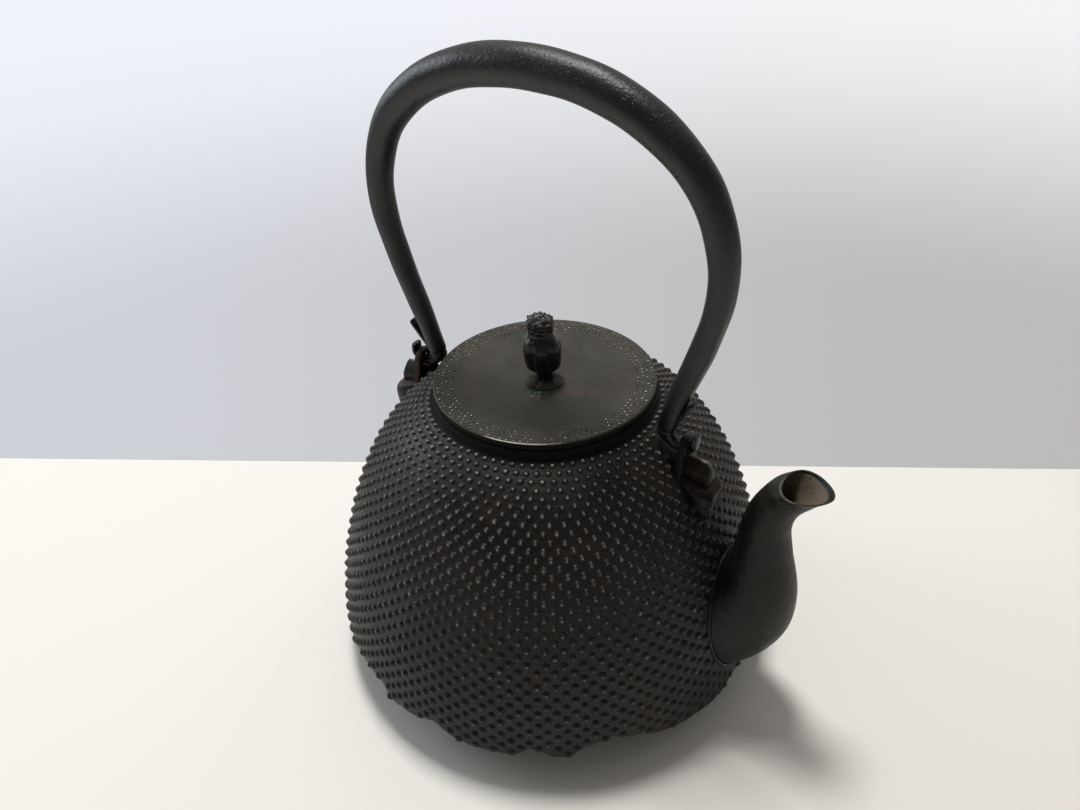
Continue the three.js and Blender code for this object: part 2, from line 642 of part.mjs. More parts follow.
// The handle and its hooks lean together about the hinge line.
const leaning = new THREE.Group();
leaning.position.set(0, 0, HINGE_Z);
leaning.rotation.x = THREE.MathUtils.degToRad(HANDLE_LEAN);
kettle.add(leaning);
const fromHinge = (geometry) => geometry.translate(0, 0, -HINGE_Z);
place("handle_tube", fromHinge(handleTube()), HANDLE_IRON, leaning);
place("handle_hook_front", fromHinge(handleHook(TAB_HEIGHT.front, TAB_LEAN.front)), HANDLE_IRON, leaning);
place(
  "handle_hook_rear",
  fromHinge(handleHook(TAB_HEIGHT.rear, TAB_LEAN.rear).rotateZ(Math.PI)),
  HANDLE_IRON,
  leaning,
);

export default kettle;
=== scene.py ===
import math

import bpy
import numpy as np
from mathutils import Matrix


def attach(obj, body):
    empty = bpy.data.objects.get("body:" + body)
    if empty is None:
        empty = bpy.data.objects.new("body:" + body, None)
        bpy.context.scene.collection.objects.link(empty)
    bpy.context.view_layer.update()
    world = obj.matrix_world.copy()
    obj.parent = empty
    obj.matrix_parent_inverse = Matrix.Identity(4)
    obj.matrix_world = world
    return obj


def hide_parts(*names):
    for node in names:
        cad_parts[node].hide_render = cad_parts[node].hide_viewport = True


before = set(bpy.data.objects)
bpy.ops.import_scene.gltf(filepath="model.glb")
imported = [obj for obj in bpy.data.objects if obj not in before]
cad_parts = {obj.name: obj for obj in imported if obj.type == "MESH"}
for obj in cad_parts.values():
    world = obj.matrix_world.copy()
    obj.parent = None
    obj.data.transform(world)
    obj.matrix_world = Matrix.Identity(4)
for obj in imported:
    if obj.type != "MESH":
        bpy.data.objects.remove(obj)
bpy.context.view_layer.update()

MM = 0.001
TAU = 2 * math.pi

# Body casting
HEM_RADIUS = 84.8
WIDEST_Z = 16.6
DOME_HEIGHT = 100.4
DOME_RISE = 1.6
DOME_SWELL = 3.2
COLLAR_RADIUS = 40.3
COLLAR_HEIGHT = 3.1
MOUTH_RADIUS = 34.4
BODY_WALL = 3.4
HEM_WALL = 2.6
FLANGE_Z = 24
GROUND = 0.45  # depth of the ground between the studs, below the widest outline
HEM_EDGE = np.array([
    [-176, 17.6], [-170, 13.6], [-161, 12.6], [-153, 14.2], [-148, 18.3], [-142, 13.9],
    [-133, 12.4], [-125, 13.4], [-119, 17.2], [-112, 18.1], [-107, 18.6], [-103, 13.6],
    [-94, 14.9], [-88, 18.1], [-82, 13.8], [-78, 12.9], [-68, 13.2], [-62, 17.4], [-57, 13.2],
    [-54, 12.9], [-50, 17], [-43, 20.2], [-37, 17.5], [-30, 13.9], [-22, 12.1], [-11, 11.4],
    [-4, 15.6], [3, 14.4], [11, 12.2], [19, 13.6], [25, 18.2], [32, 14], [41, 12.3], [50, 13.2],
    [57, 18.8], [65, 14.8], [74, 12.1], [84, 13], [91, 17.4], [97, 13.2], [106, 12.2], [115, 14],
    [122, 18.9], [129, 13.7], [139, 12.3], [149, 13.4], [157, 18], [165, 13.2], [174, 12.6],
])  # azimuth in degrees from the spout, and height above the floor
CHIP_HEIGHT = 0.7  # small breaks in the torn edge

# Studs
STUDS_ROUND = 80
STUD_ROW_STEP = 2.85  # between rows, along the slope
STUD_FIRST_ROW = 2.3  # from the collar's foot
STUD_RADIUS = (1.2, 1.62)  # at the top row and at the bottom row
STUD_HEIGHT = (0.8, 1.05)

# Lid and knob
LID_RADIUS = 40
LID_UNDER_Z = 114.49
LID_RIM = 2.5
LID_DISH = 1.8
LID_WALL = 2.4
LID_SPIGOT_RADIUS = 33.4
LID_SPIGOT_DEPTH = 6
LID_SPIGOT_WALL = 2.4
LID_MIDDLE_Z = 115.19
LID_GLINT_AZIMUTH = 292  # middle of the stretch where the rim's top edge has a painted highlight
LID_DOT_ROWS = 4
LID_DOTS_ROUND = 104
LID_DOT_STEP = 1.75  # between rows
LID_DOTS_RADIUS = 38.6  # of the outer row
LID_DOT_SIZE = (0.44, 0.32)  # radius and height
LID_MOUND = 0.5
MOUND_RADIUS = 8.5
SEAT_GAP = 0.3
KNOB_PIN_RADIUS = 1.9
KNOB_CLINCH_RADIUS = 3.2
KNOB_SEAT_RADIUS = 7
KNOB_SEAT_THICKNESS = 1.4
KNOB_OUTLINE = np.array([
    [3.1, 0], [3, 1.2], [3.3, 2.5], [4.9, 3.7], [6.2, 5], [6.7, 7.4], [6.9, 10.4], [6.8, 13],
    [6.1, 15.2], [4.9, 17], [4.4, 18.4], [4.9, 20], [5.4, 21.6], [5.1, 23.2], [3.6, 24.1],
    [1.6, 23.9],
])
KNOB_LEAN = 0.042  # sideways for each millimetre of height, away from the spout's side
KNOB_NECK_Z = 18.2

# Bottom pan
BASE_RADIUS = 45
PAN_RADIUS = 70
PAN_WALL = 3
FLANGE_HEIGHT = 4
FLANGE_RADIUS = 79.8

# Handle, hooks and ears
HINGE_Z = 106.6
HANDLE_LEAN = math.radians(1.3)
HANDLE_HALF = np.array([
    [0, 226.1], [24.2, 222.9], [43.9, 213.7], [57.6, 200], [64.4, 182.4], [64.9, 167],
    [60.5, 148.4], [53, 126.9], [48.6, 112.2],
])  # across and up, from the crown down to an end
HANDLE_CROWN_RADIUS = 6.7
HANDLE_END_RADIUS = 4.1
HANDLE_TAPER = 2.1
HANDLE_END_NECK = 0.6  # how much thinner the last stretch is drawn
HANDLE_WALL = 1.6
EYE_INNER_X = 54.8
EYE_THICKNESS = 2.8
EYE_RADIUS = 4.9
EYE_HOLE = 2.6
NOSE_LENGTH = 12
NOSE_Z = 99.4
EAR_LEAF = np.array([
    [55, 91.6, 57.2, 98.2, 6.4], [59, 89.6, 61.6, 96.8, 7.2], [63.2, 85.4, 65.6, 95.2, 7.4],
    [66, 82.8, 68, 94, 6.4], [67.1, 82, 68.7, 93, 5.5],
])  # inner side, outer side and half width of each section
TAB_FOOT = np.array([51.4, 113.4])
TAB_TOP = {"front": np.array([58.6, 125.8]), "rear": np.array([59.2, 124])}
BARE_PLACES = [(EYE_INNER_X - 1.2, 7.4), (45, 4)]  # inner end and half width, of an ear and a hook
BARE_OUTER_X = 66

# Spout: inner side, outer side, half width and beak of each section
SPOUT_SECTIONS = np.array([
    [58, 63, 62, 17, 21.5, 0], [69, 64.4, 79, 17.5, 20.5, 0], [73.8, 66.2, 90.4, 26.5, 18.2, 0],
    [76.1, 70.5, 98.9, 41, 15, 0], [77.4, 78, 100.5, 56, 12, 0], [78.8, 87, 96.8, 75, 9.2, 0],
    [81, 95, 95.2, 86.6, 7.7, 0], [84.6, 101.9, 97.2, 95.2, 7.4, 0.08],
    [87.5, 105.6, 102.4, 101.8, 8.2, 0.18], [90.3, 106.9, 106.8, 106.2, 8.3, 0.28],
])
SPOUT_WALL = 2
SPOUT_LIP_WALL = 0.75
SPOUT_LIP_FLARE = 0.35
SPOUT_GLINT_TURN = 3.8  # radians round the lip, to the middle of the side where it has a painted highlight
SPOUT_BORDER_RADIUS = 0.75


def full_turn(count):
    """Angles evenly round a circle."""
    return np.arange(count) * TAU / count


def around(r, turn, z):
    """Points at a radius, an azimuth and a height."""
    return np.stack([r * np.cos(turn), r * np.sin(turn), z + 0 * turn], -1)


def wrapped(degrees):
    """Degrees brought between -180 and 180."""
    return (degrees + 180) % 360 - 180


def unit(v):
    """Vectors divided by their lengths."""
    return v / np.linalg.norm(v, axis=-1, keepdims=True)


def shares(count, last=1):
    """A column of even shares from 0 to the last."""
    return np.linspace(0, last, count)[:, None]


def between(low, high, share):
    """Value that lies at a share of the way from low to high."""
    return low + (high - low) * share


def smooth(share):
    """Smooth step: three times the square less twice the cube of the share, kept in 0 to 1."""
    share = np.clip(share, 0, 1)
    return share * share * (3 - 2 * share)


def dome_radius(z):
    """The widest radius times (1 - rise^p)^(1/q), where rise is the height above the widest place
    as a share of the dome's height, p the rise's exponent and q the swell's."""
    rise = np.clip((np.asarray(z, float) - WIDEST_Z) / DOME_HEIGHT, 0, 1)
    return HEM_RADIUS * (1 - rise**DOME_RISE) ** (1 / DOME_SWELL)


def dome_height_at(radius):
    """The dome's curve solved for the height at which it has a radius."""
    swell = (radius / HEM_RADIUS) ** DOME_SWELL
    return WIDEST_Z + DOME_HEIGHT * (1 - swell) ** (1 / DOME_RISE)


def dome_normal(z):
    """Radial and upward share of the outward normal, from the slope of the dome's curve."""
    slope = (dome_radius(z + 0.01) - dome_radius(z)) / 0.01
    long = np.hypot(1, slope)
    return 1 / long, -slope / long


def dome_point(z, inwards):
    """Radius and height of the dome's section at z, moved inwards along its normal."""
    out, up = dome_normal(z)
    return dome_radius(z) - inwards * out, z - inwards * up


def hem_height(turn):
    """Height of the torn edge: smooth steps between the listed points, plus small breaks that only
    raise it. A break is a seeded row of narrow bumps, each a squared cosine."""
    degrees = wrapped(np.degrees(turn))
    listed = np.vstack([HEM_EDGE[-1] - [360, 0], HEM_EDGE, HEM_EDGE[0] + [360, 0]])
    i = np.clip(np.searchsorted(listed[:, 0], degrees, side="right") - 1, 0, len(listed) - 2)
    low, high = listed[i], listed[i + 1]
    share = smooth((degrees - low[..., 0]) / (high - low)[..., 0])
    edge = between(low[..., 1], high[..., 1], share)
    rng = np.random.default_rng(7)
    centres = rng.uniform(-180, 180, 70)
    widths = rng.uniform(0.7, 1.8, 70)
    depths = rng.uniform(0.15, 1, 70) * CHIP_HEIGHT
    away = np.abs(wrapped(degrees[..., None] - centres)) / widths
    bumps = depths * np.cos(np.clip(away, 0, 1) * math.pi / 2) ** 2
    return edge + bumps.max(axis=-1)


COLLAR_FOOT_Z = float(dome_height_at(COLLAR_RADIUS))
COLLAR_TOP_Z = COLLAR_FOOT_Z + COLLAR_HEIGHT


def through(points, t):
    """Centripetal Catmull-Rom curve through the points, at shares t of the steps between them. Each
    stretch is a cubic whose end slopes weigh its neighbours by the square root of their distance."""
    points = np.asarray(points, float)
    padded = np.vstack([2 * points[0] - points[1], points, 2 * points[-1] - points[-2]])
    place = np.clip(np.asarray(t, float), 0, 1) * (len(points) - 1)
    i = np.minimum(place.astype(int), len(points) - 2)
    w = (place - i)[..., None]
    p0, p1, p2, p3 = (padded[i + k] for k in range(4))

    def gap(a, b):
        """Square root of the distance between two points."""
        return np.sqrt(np.maximum(np.linalg.norm(b - a, axis=-1, keepdims=True), 1e-6))

    g0, g1, g2 = gap(p0, p1), gap(p1, p2), gap(p2, p3)
    start = ((p1 - p0) / g0 - (p2 - p0) / (g0 + g1) + (p2 - p1) / g1) * g1
    end = ((p2 - p1) / g1 - (p3 - p1) / (g1 + g2) + (p3 - p2) / g2) * g1
    a = 2 * p1 - 2 * p2 + start + end
    b = -3 * p1 + 3 * p2 - 2 * start - end
    return ((a * w + b) * w + start) * w + p1


def grid_faces(rows, columns, wrap):
    """Quads between neighbouring rows of a grid whose columns join round; wrap joins the last row
    to the first as well."""
    r = np.arange(rows if wrap else rows - 1)[:, None]
    c = np.arange(columns)[None, :]
    r2, c2 = (r + 1) % rows, (c + 1) % columns
    corners = [r * columns + c, r * columns + c2, r2 * columns + c2, r2 * columns + c]
    return np.stack(corners, -1).reshape(-1, 4)


def closed_faces(rows, columns):
    """Faces over a grid whose points are followed by two more, each the middle of a fan: the first
    closes the first row, the second the last row."""
    c = np.arange(columns)
    c2 = (c + 1) % columns
    tip, last = rows * columns, (rows - 1) * columns
    low = np.stack([np.full(columns, tip), c2, c], -1)
    high = np.stack([np.full(columns, tip + 1), last + c, last + c2], -1)
    return [grid_faces(rows, columns, False), np.vstack([low, high])]


def closed_rings(rings):
    """Skin over a grid of rings, closed at the middle of each end ring."""
    points = np.vstack([rings.reshape(-1, 3), rings[[0, -1]].mean(axis=1)])
    return points, closed_faces(*rings.shape[:2])


def joined_rings(rings):
    """Skin over a grid of rings whose last ring joins the first."""
    rows, columns = rings.shape[:2]
    return rings.reshape(-1, 3), [grid_faces(rows, columns, True)]


def circles(centre, first, second, radius, sides):
    """Circles round the points of a line: the first direction times the cosine of the turn plus the
    second times its sine, times the radius."""
    turn = full_turn(sides)[:, None]
    across = first[:, None, :] * np.cos(turn) + second[:, None, :] * np.sin(turn)
    return centre[:, None, :] + radius * across


def rings_round(profile, steps):
    """[radius, height] profile turned round the Z axis: each pair goes round a circle."""
    return around(profile[:, :1], full_turn(steps), profile[:, 1:])


def cones(place, normal, side, wide, tall, levels, sink, sides):
    """Closed blunt cones: at each place, rings stacked along its normal, a foot point below it and a
    tip at its full height. The levels give each ring's radius and height, and sink the foot's
    depth, as shares of the cone's width and height. Points come cone by cone: rings, foot, tip."""

    def lifted(share):
        """A share of each cone's height along its normal."""
        return (normal * (tall * share)[:, None])[:, None, :]

    rings = [
        circles(place, side, np.cross(normal, side), (wide * share)[:, None, None], sides)
        + lifted(height) for share, height in levels
    ]
    ends = [place[:, None, :] + lifted(-sink), place[:, None, :] + lifted(1)]
    points = np.concatenate(rings + ends, axis=1)
    start = (np.arange(len(place)) * points.shape[1])[:, None, None]
    return points.reshape(-1, 3), [
        (block + start).reshape(-1, block.shape[1]) for block in closed_faces(len(levels), sides)
    ]


def facing_out(part):
    """The part with its faces turned round if its signed volume, the sum of the tetrahedra from the
    origin to its triangles, is negative."""
    points, faces = part
    volume = 0.0
    for block in faces:
        a = points[block[:, 0]]
        for k in range(1, block.shape[1] - 1):
            b, c = points[block[:, k]], points[block[:, k + 1]]
            volume += np.einsum("ij,ij->i", a, np.cross(b, c)).sum()
    return points, [block[:, ::-1] if volume < 0 else block for block in faces]


def in_scene(name, data):
    """Object with its data, linked to the scene."""
    made = bpy.data.objects.new(name, data)
    bpy.context.scene.collection.objects.link(made)
    return made


def mesh_object(name, parts, sharp=40, marks=None):
    """Mesh object in metres from closed parts. marks is a number per point, kept as the attribute
    that the materials read for scuffing, painted glints and painted shade."""
    points, faces, start = [], [], 0
    for part in parts:
        part_points, part_faces = facing_out(part)
        points.append(part_points)
        for block in part_faces:
            faces += (block + start).tolist()
        start += len(part_points)
    mesh = bpy.data.meshes.new(name)
    mesh.from_pydata((np.vstack(points) * MM).tolist(), [], faces)
    if marks is not None:
        layer = mesh.attributes.new("wear_and_light", "FLOAT", "POINT")
        layer.data.foreach_set("value", np.asarray(marks, np.float32).ravel())
    mesh.polygons.foreach_set("use_smooth", np.ones(len(mesh.polygons), bool))
    mesh.set_sharp_from_angle(angle=math.radians(sharp))
    return in_scene(name, mesh)


def coat(made, material):
    """The piece's only material."""
    made.data.materials.clear()
    made.data.materials.append(material)


def dress(made, body, slot, material, *nodes):
    """The piece rides on a body, takes a material and stands for CAD nodes."""
    coat(made, material)
    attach(made, body)
    if nodes:
        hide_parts(*nodes)


# Node groups

GRAIN_SCALES = ("Fine", "Coarse", "Pit", "Pit Share")


def feed(tree, target, value):
    """A link or a plain value on an input."""
    if isinstance(value, bpy.types.NodeSocket):
        tree.links.new(value, target)
    else:
        target.default_value = value


def add(tree, kind, inputs=None, **settings):
    """Node of a kind with its settings and the values or links of its inputs."""
    made = tree.nodes.new("ShaderNode" + kind)
    for name, value in settings.items():
        setattr(made, name, value)
    for name, value in (inputs or {}).items():
        feed(tree, made.inputs[name], value)
    return made


def noise(tree, vector, scale, detail, rough=0.55):
    """Value of a noise texture."""
    values = {"Vector": vector, "Scale": scale, "Detail": detail, "Roughness": rough}
    return add(tree, "TexNoise", values).outputs["Fac"]


def ramp(tree, value, low, high):
    """Value from 0 at low to 1 at high, in a smooth step."""
    made = add(tree, "MapRange", {"Value": value, "From Min": low, "From Max": high})
    made.interpolation_type = "SMOOTHSTEP"
    return made.outputs["Result"]


def spots(tree, vector, scale, low, high, detail=2.0, rough=0.55):
    """Noise that rises from 0 to 1 between two levels."""
    return ramp(tree, noise(tree, vector, scale, detail, rough), low, high)


def wear_and_light_mark(tree):
    """The number kept at each point for scuffing, painted glints and painted shade."""
    return add(tree, "Attribute", attribute_name="wear_and_light").outputs["Fac"]


def maths(tree, operation, a, b):
    """Result of a Math node."""
    return add(tree, "Math", {0: a, 1: b}, operation=operation).outputs[0]


def plus(tree, a, b, times):
    """a plus b times a number."""
    return maths(tree, "ADD", a, maths(tree, "MULTIPLY", b, times))


def blend(tree, share, a, b):
    """Colour from a to b by a share."""
    made = add(tree, "Mix", data_type="RGBA")
    for name, value in (("Factor_Float", share), ("A_Color", a), ("B_Color", b)):
        feed(tree, next(s for s in made.inputs if s.identifier == name), value)
    return next(s for s in made.outputs if s.identifier == "Result_Color")


def new_group(name, ways):
    """Node group with sockets, listed as way, kind and names. Returns its tree, what it is given and
    what it gives back."""
    tree = bpy.data.node_groups.new(name, "ShaderNodeTree")
    for way, kind, *names in ways:
        for each in names:
            tree.interface.new_socket(name=each, in_out=way, socket_type="NodeSocket" + kind)
    return tree, tree.nodes.new("NodeGroupInput").outputs, tree.nodes.new("NodeGroupOutput").inputs


def cast_grain_group():
    """Sand-cast surface. Height adds fine grain, coarse unevenness and open pits; Pits is 1 in a
    pit."""
    tree, given, result = new_group("cast_grain", [
        ("INPUT", "Vector", "Vector"),
        ("INPUT", "Float", *GRAIN_SCALES),
        ("OUTPUT", "Float", "Height", "Pits"),
    ])
    at = given["Vector"]
    fine = noise(tree, at, given["Fine"], 4.0, 0.65)
    coarse = noise(tree, at, given["Coarse"], 2.0)
    cells = add(tree, "TexVoronoi", {"Vector": at, "Scale": given["Pit"]})
    rare = add(tree, "MapRange", {
        "Value": cells.outputs["Distance"], "From Max": given["Pit Share"],
        "To Min": 1.0, "To Max": 0.0,
    })
    patch = spots(tree, at, 90.0, 0.5, 0.62)
    pits = maths(tree, "MULTIPLY", rare.outputs["Result"], patch)
    height = maths(tree, "SUBTRACT", plus(tree, coarse, fine, 0.45), pits)
    tree.links.new(height, result["Height"])
    tree.links.new(pits, result["Pits"])
    return tree


def patina_group():
    """Oxide colours in clouds: a dark and a light tone in large soft patches, a warm tone in smaller
    ones, and fine speckle. Cloud is the large patches' share."""
    tree, given, result = new_group("patina", [
        ("INPUT", "Vector", "Vector"),
        ("INPUT", "Color", "Dark", "Light", "Warm"),
        ("INPUT", "Float", "Warm Share"),
        ("OUTPUT", "Color", "Color"),
        ("OUTPUT", "Float", "Cloud"),
    ])
    at = given["Vector"]
    cloud = spots(tree, at, 38.0, 0.34, 0.68, 5.0, 0.6)
    speckle = spots(tree, at, 1100.0, 0.42, 0.7)
    stain = spots(tree, at, 110.0, 0.5, 0.72, 4.0, 0.65)
    tone = blend(tree, cloud, given["Dark"], given["Light"])
    warm = maths(tree, "MULTIPLY", stain, given["Warm Share"])
    tone = blend(tree, warm, tone, given["Warm"])
    tone = blend(tree, maths(tree, "MULTIPLY", speckle, 0.35), tone, given["Light"])
    tree.links.new(tone, result["Color"])
    tree.links.new(cloud, result["Cloud"])
    return tree


def wear_and_glint_group():
    """Scuffed places and painted glints: the mark, broken up by noise. The output is 1 where the
    iron is scuffed bright or a painted highlight lies.
    """
    tree, given, result = new_group("wear_and_glint", [
        ("INPUT", "Vector", "Vector"),
        ("INPUT", "Float", "Mark", "Start"),
        ("OUTPUT", "Float", "Worn"),
    ])
    broken = noise(tree, given["Vector"], 260.0, 3.0)
    level = maths(tree, "ADD", given["Mark"], maths(tree, "SUBTRACT", broken, 0.5))
    made = add(tree, "MapRange", {
        "Value": level, "From Min": given["Start"], "From Max": 1.1,
    })
    tree.links.new(made.outputs["Result"], result["Worn"])
    return tree


GRAIN = cast_grain_group()
PATINA = patina_group()
WEAR_AND_GLINT = wear_and_glint_group()


def iron(name, dark, light, warm, warm_share, rough, relief, grain, wear_and_glint_colour=None, *, specular,
         start=0.5, polish=0.12, extra=None):
    """Cast or forged iron. rough is the roughness in dark and light clouds, relief the height of the
    grain in metres, grain its scales, wear_and_glint_colour the colour of scuffed places and of
    painted highlights, start the mark at which they begin and polish what they lose in roughness."""
    material = bpy.data.materials.new(name)
    material.use_nodes = True
    tree = material.node_tree
    shader = tree.nodes["Principled BSDF"]
    at = add(tree, "TexCoord").outputs["Object"]

    def grouped(group, values):
        """A group's node, fed with the place and its own values."""
        return add(tree, "Group", {"Vector": at, **values}, node_tree=group)

    coat = grouped(PATINA, {"Dark": dark, "Light": light, "Warm": warm, "Warm Share": warm_share})
    surface = grouped(GRAIN, dict(zip(GRAIN_SCALES, grain)))
    colour = coat.outputs["Color"]
    shine = add(tree, "MapRange", {
        "Value": coat.outputs["Cloud"], "To Min": rough[0], "To Max": rough[1],
    }).outputs["Result"]
    shine = plus(tree, shine, surface.outputs["Pits"], 0.2)
    if wear_and_glint_colour:
        wear_and_glint = grouped(WEAR_AND_GLINT, {"Mark": wear_and_light_mark(tree), "Start": start}).outputs["Worn"]
        colour = blend(tree, wear_and_glint, colour, wear_and_glint_colour)
        shine = plus(tree, shine, wear_and_glint, -polish)
    if extra:
        colour, shine = extra(tree, at, colour, shine)
    bump = add(tree, "Bump", {
        "Height": surface.outputs["Height"], "Distance": relief, "Strength": 1.0,
    })
    tree.links.new(colour, shader.inputs["Base Color"])
    tree.links.new(shine, shader.inputs["Roughness"])
    tree.links.new(bump.outputs["Normal"], shader.inputs["Normal"])
    shader.inputs["Specular IOR Level"].default_value = specular
    return material


def rgb(r, g, b):
    """Linear colour from sRGB values of 0 to 255."""
    level = np.array([r, g, b]) / 255
    level = np.where(level <= 0.04045, level / 12.92, ((level + 0.055) / 1.055) ** 2.4)
    return (*level.tolist(), 1.0)


def painted_shade(tree, at, colour, shine):
    """Painted shade: matt black where the mark is below zero."""
    share = ramp(tree, wear_and_light_mark(tree), -0.05, -0.9)
    return blend(tree, share, colour, rgb(7, 6, 6)), plus(tree, shine, share, 0.5)


def lid_shade_and_glint(tree, at, colour, shine):
    """Painted shade, matt black where the mark is below zero, and a painted glint of pale green
    specks at the front edge of the knob's seat.
    """
    colour, shine = painted_shade(tree, at, colour, shine)
    here = add(tree, "Mapping", {"Vector": at, "Location": (-0.0024, 0.0074, -0.1155)})
    away = add(tree, "VectorMath", {0: here.outputs[0]}, operation="LENGTH")
    near = ramp(tree, away.outputs["Value"], 0.0052, 0.0008)
    share = maths(tree, "MULTIPLY", near, spots(tree, at, 900.0, 0.5, 0.62))
    return blend(tree, share, colour, rgb(120, 138, 118)), shine


def spout_rust(tree, at, colour, shine):
    """Tan scale inside the spout, where the mark is below zero."""
    inside = ramp(tree, wear_and_light_mark(tree), -0.2, -0.9)
    scale = blend(tree, spots(tree, at, 240.0, 0.38, 0.66, 4.0), rgb(92, 88, 80), rgb(95, 83, 67))
    return blend(tree, inside, colour, scale), plus(tree, shine, inside, 0.25)


BODY_GRAIN = (1500.0, 420.0, 500.0, 0.28)
BRONZE_GRAIN = (1600.0, 500.0, 700.0, 0.3)
# The body's pale colour at marked places is partly scuffing on the torn edge and the stud tips, and
# partly a painted glint on the stud tips.
body_iron = iron(
    "body_iron", rgb(13, 11, 10), rgb(31, 26, 23), rgb(42, 29, 21), 0.45, (0.46, 0.56), 0.00022,
    BODY_GRAIN, rgb(134, 130, 122), specular=0.34, start=0.6, polish=0.28, extra=painted_shade,
)
pan_iron = iron(
    "pan_iron", rgb(20, 18, 17), rgb(38, 34, 31), rgb(70, 44, 30), 0.7, (0.62, 0.78), 0.00025,
    BODY_GRAIN, specular=0.3,
)
# The spout's pale colour at marked places paints the highlight along one side of its lip and
# lightens its border a little.
spout_iron = iron(
    "spout_iron", rgb(7, 6, 6), rgb(33, 31, 26), rgb(44, 32, 23), 0.6, (0.4, 0.56), 0.00036,
    (850.0, 240.0, 520.0, 0.2), rgb(92, 88, 80), specular=0.3, start=0.55, extra=spout_rust,
)
# The ears' pale colour at marked places paints highlights on their ridge and edges.
ear_iron = iron(
    "ear_iron", rgb(7, 6, 6), rgb(16, 13, 12), rgb(80, 42, 24), 0.75, (0.44, 0.56), 0.0002,
    (1500.0, 300.0, 600.0, 0.25), rgb(150, 138, 124), specular=0.24, polish=0.2,
)
handle_iron = iron(
    "handle_iron", rgb(11, 11, 13), rgb(23, 23, 26), rgb(32, 26, 24), 0.3, (0.34, 0.44), 0.00016,
    (2000.0, 700.0, 900.0, 0.3), rgb(80, 78, 77), specular=0.48, start=0.62,
)
# The lid's pale colour at marked places is painted highlight: glints on its dots and along its rim's
# top edge.
lid_iron = iron(
    "lid_iron", rgb(33, 32, 26), rgb(58, 56, 46), rgb(64, 46, 37), 0.65, (0.46, 0.6), 0.0003,
    (950.0, 300.0, 480.0, 0.3), rgb(206, 203, 192), specular=0.33, start=0.6, polish=0.3,
    extra=lid_shade_and_glint,
)
knob_bronze = iron(
    "knob_bronze", rgb(5, 5, 5), rgb(12, 10, 10), rgb(28, 19, 15), 0.4, (0.24, 0.34), 0.00016,
    BRONZE_GRAIN, rgb(84, 75, 61), specular=0.45, start=0.45,
)
seat_bronze = iron(
    "seat_bronze", rgb(36, 34, 29), rgb(60, 57, 47), rgb(60, 46, 36), 0.4, (0.5, 0.62), 0.0002,
    BRONZE_GRAIN, rgb(56, 54, 46), specular=0.3, start=0.6, extra=painted_shade,
)
seal_black = iron(
    "seal_black", rgb(20, 17, 15), rgb(34, 30, 26), rgb(60, 42, 30), 0.5, (0.7, 0.85), 0.0001,
    BODY_GRAIN, specular=0.25,
)


# Spout


def spout_point(t, turn, grow):
    """Point of the spout's skin: the middle of the section at t, plus half its depth times the
    cosine of the turn in the handle's plane, plus its half width times the sine across it. The
    beak times the cosine narrows the outer side, which gives the mouth its egg shape."""
    t, turn = np.broadcast_arrays(t, turn)
    section = through(SPOUT_SECTIONS, t)
    inner, outer, half = section[..., :2], section[..., 2:4], section[..., 4]
    middle, reach = (inner + outer) / 2, (outer - inner) / 2
    taper = 1 - section[..., 5] * np.cos(turn)
    long = np.linalg.norm(reach, axis=-1)
    out = reach / long[..., None]
    place = middle + out * ((long + grow) * np.cos(turn))[..., None]
    return np.stack([place[..., 0], (half + grow) * taper * np.sin(turn), place[..., 1]], -1)


def spout_cut(turn, grow, inwards):
    """Share along the spout at which each of its lengthwise lines leaves the dome, moved inwards:
    the last change of sign of the distance to the dome's surface."""
    t = shares(361, 0.6)
    points = spout_point(t, turn, grow)
    radius = np.hypot(points[..., 0], points[..., 1])
    away = radius - dome_point(points[..., 2], inwards)[0]
    inside = away < 0
    last = inside.shape[0] - 1 - np.argmax(inside[::-1], axis=0)
    last = np.clip(last, 0, len(t) - 2)
    column = np.arange(turn.shape[-1])
    a, b = away[last, column], away[last + 1, column]
    share = np.clip(a / (a - b), 0, 1)
    return t[last, 0] + share * (t[1, 0] - t[0, 0])


spout_turn = full_turn(96)


def make_spout():
    """Outer skin from the inside of the wall to the lip, rounded over the lip and back down the
    bore. The wall thins to the lip, which flares a little and has a painted highlight on one side."""
    start_out, start_in = (
        spout_cut(spout_turn, grow, BODY_WALL) for grow in (0.0, -SPOUT_WALL))
    t_out = between(start_out, 1, shares(90))
    t_in = between(start_in, 1, shares(90))[::-1]
    flare_out, flare_in = (
        SPOUT_LIP_FLARE * smooth((t - 0.93) / 0.07) for t in (t_out, t_in))
    wall = between(SPOUT_WALL, SPOUT_LIP_WALL, smooth((t_in - 0.8) / 0.2))
    outside = spout_point(t_out, spout_turn, flare_out)
    bore = spout_point(t_in, spout_turn, flare_in - wall)
    last, first = outside[-1], bore[0]
    up = unit(outside[-1].mean(axis=0) - outside[-4].mean(axis=0))
    bend = np.linspace(0, math.pi, 9)[1:-1][:, None, None]
    middle, reach = (last + first) / 2, (last - first) / 2
    depth = np.linalg.norm(reach, axis=-1, keepdims=True)
    lip = middle + reach * np.cos(bend) + up * depth * np.sin(bend) * 0.8
    # Painted highlight along one side of the lip, reaching a little down the outer skin.
    lip_glint = 0.3 + 0.55 * smooth(np.cos(spout_turn - SPOUT_GLINT_TURN))
    marks_out = smooth((t_out - 0.98) / 0.02) * lip_glint
    deep = -smooth((1.0 - t_in) / 0.05)
    marks = np.concatenate([marks_out, np.zeros(lip.shape[:2]) + lip_glint, deep])
    rings = np.concatenate([outside, lip, bore])
    return mesh_object("spout_casting", [joined_rings(rings)], 50, marks)


dress(make_spout(), "kettle", "spout_iron", spout_iron, "spout")


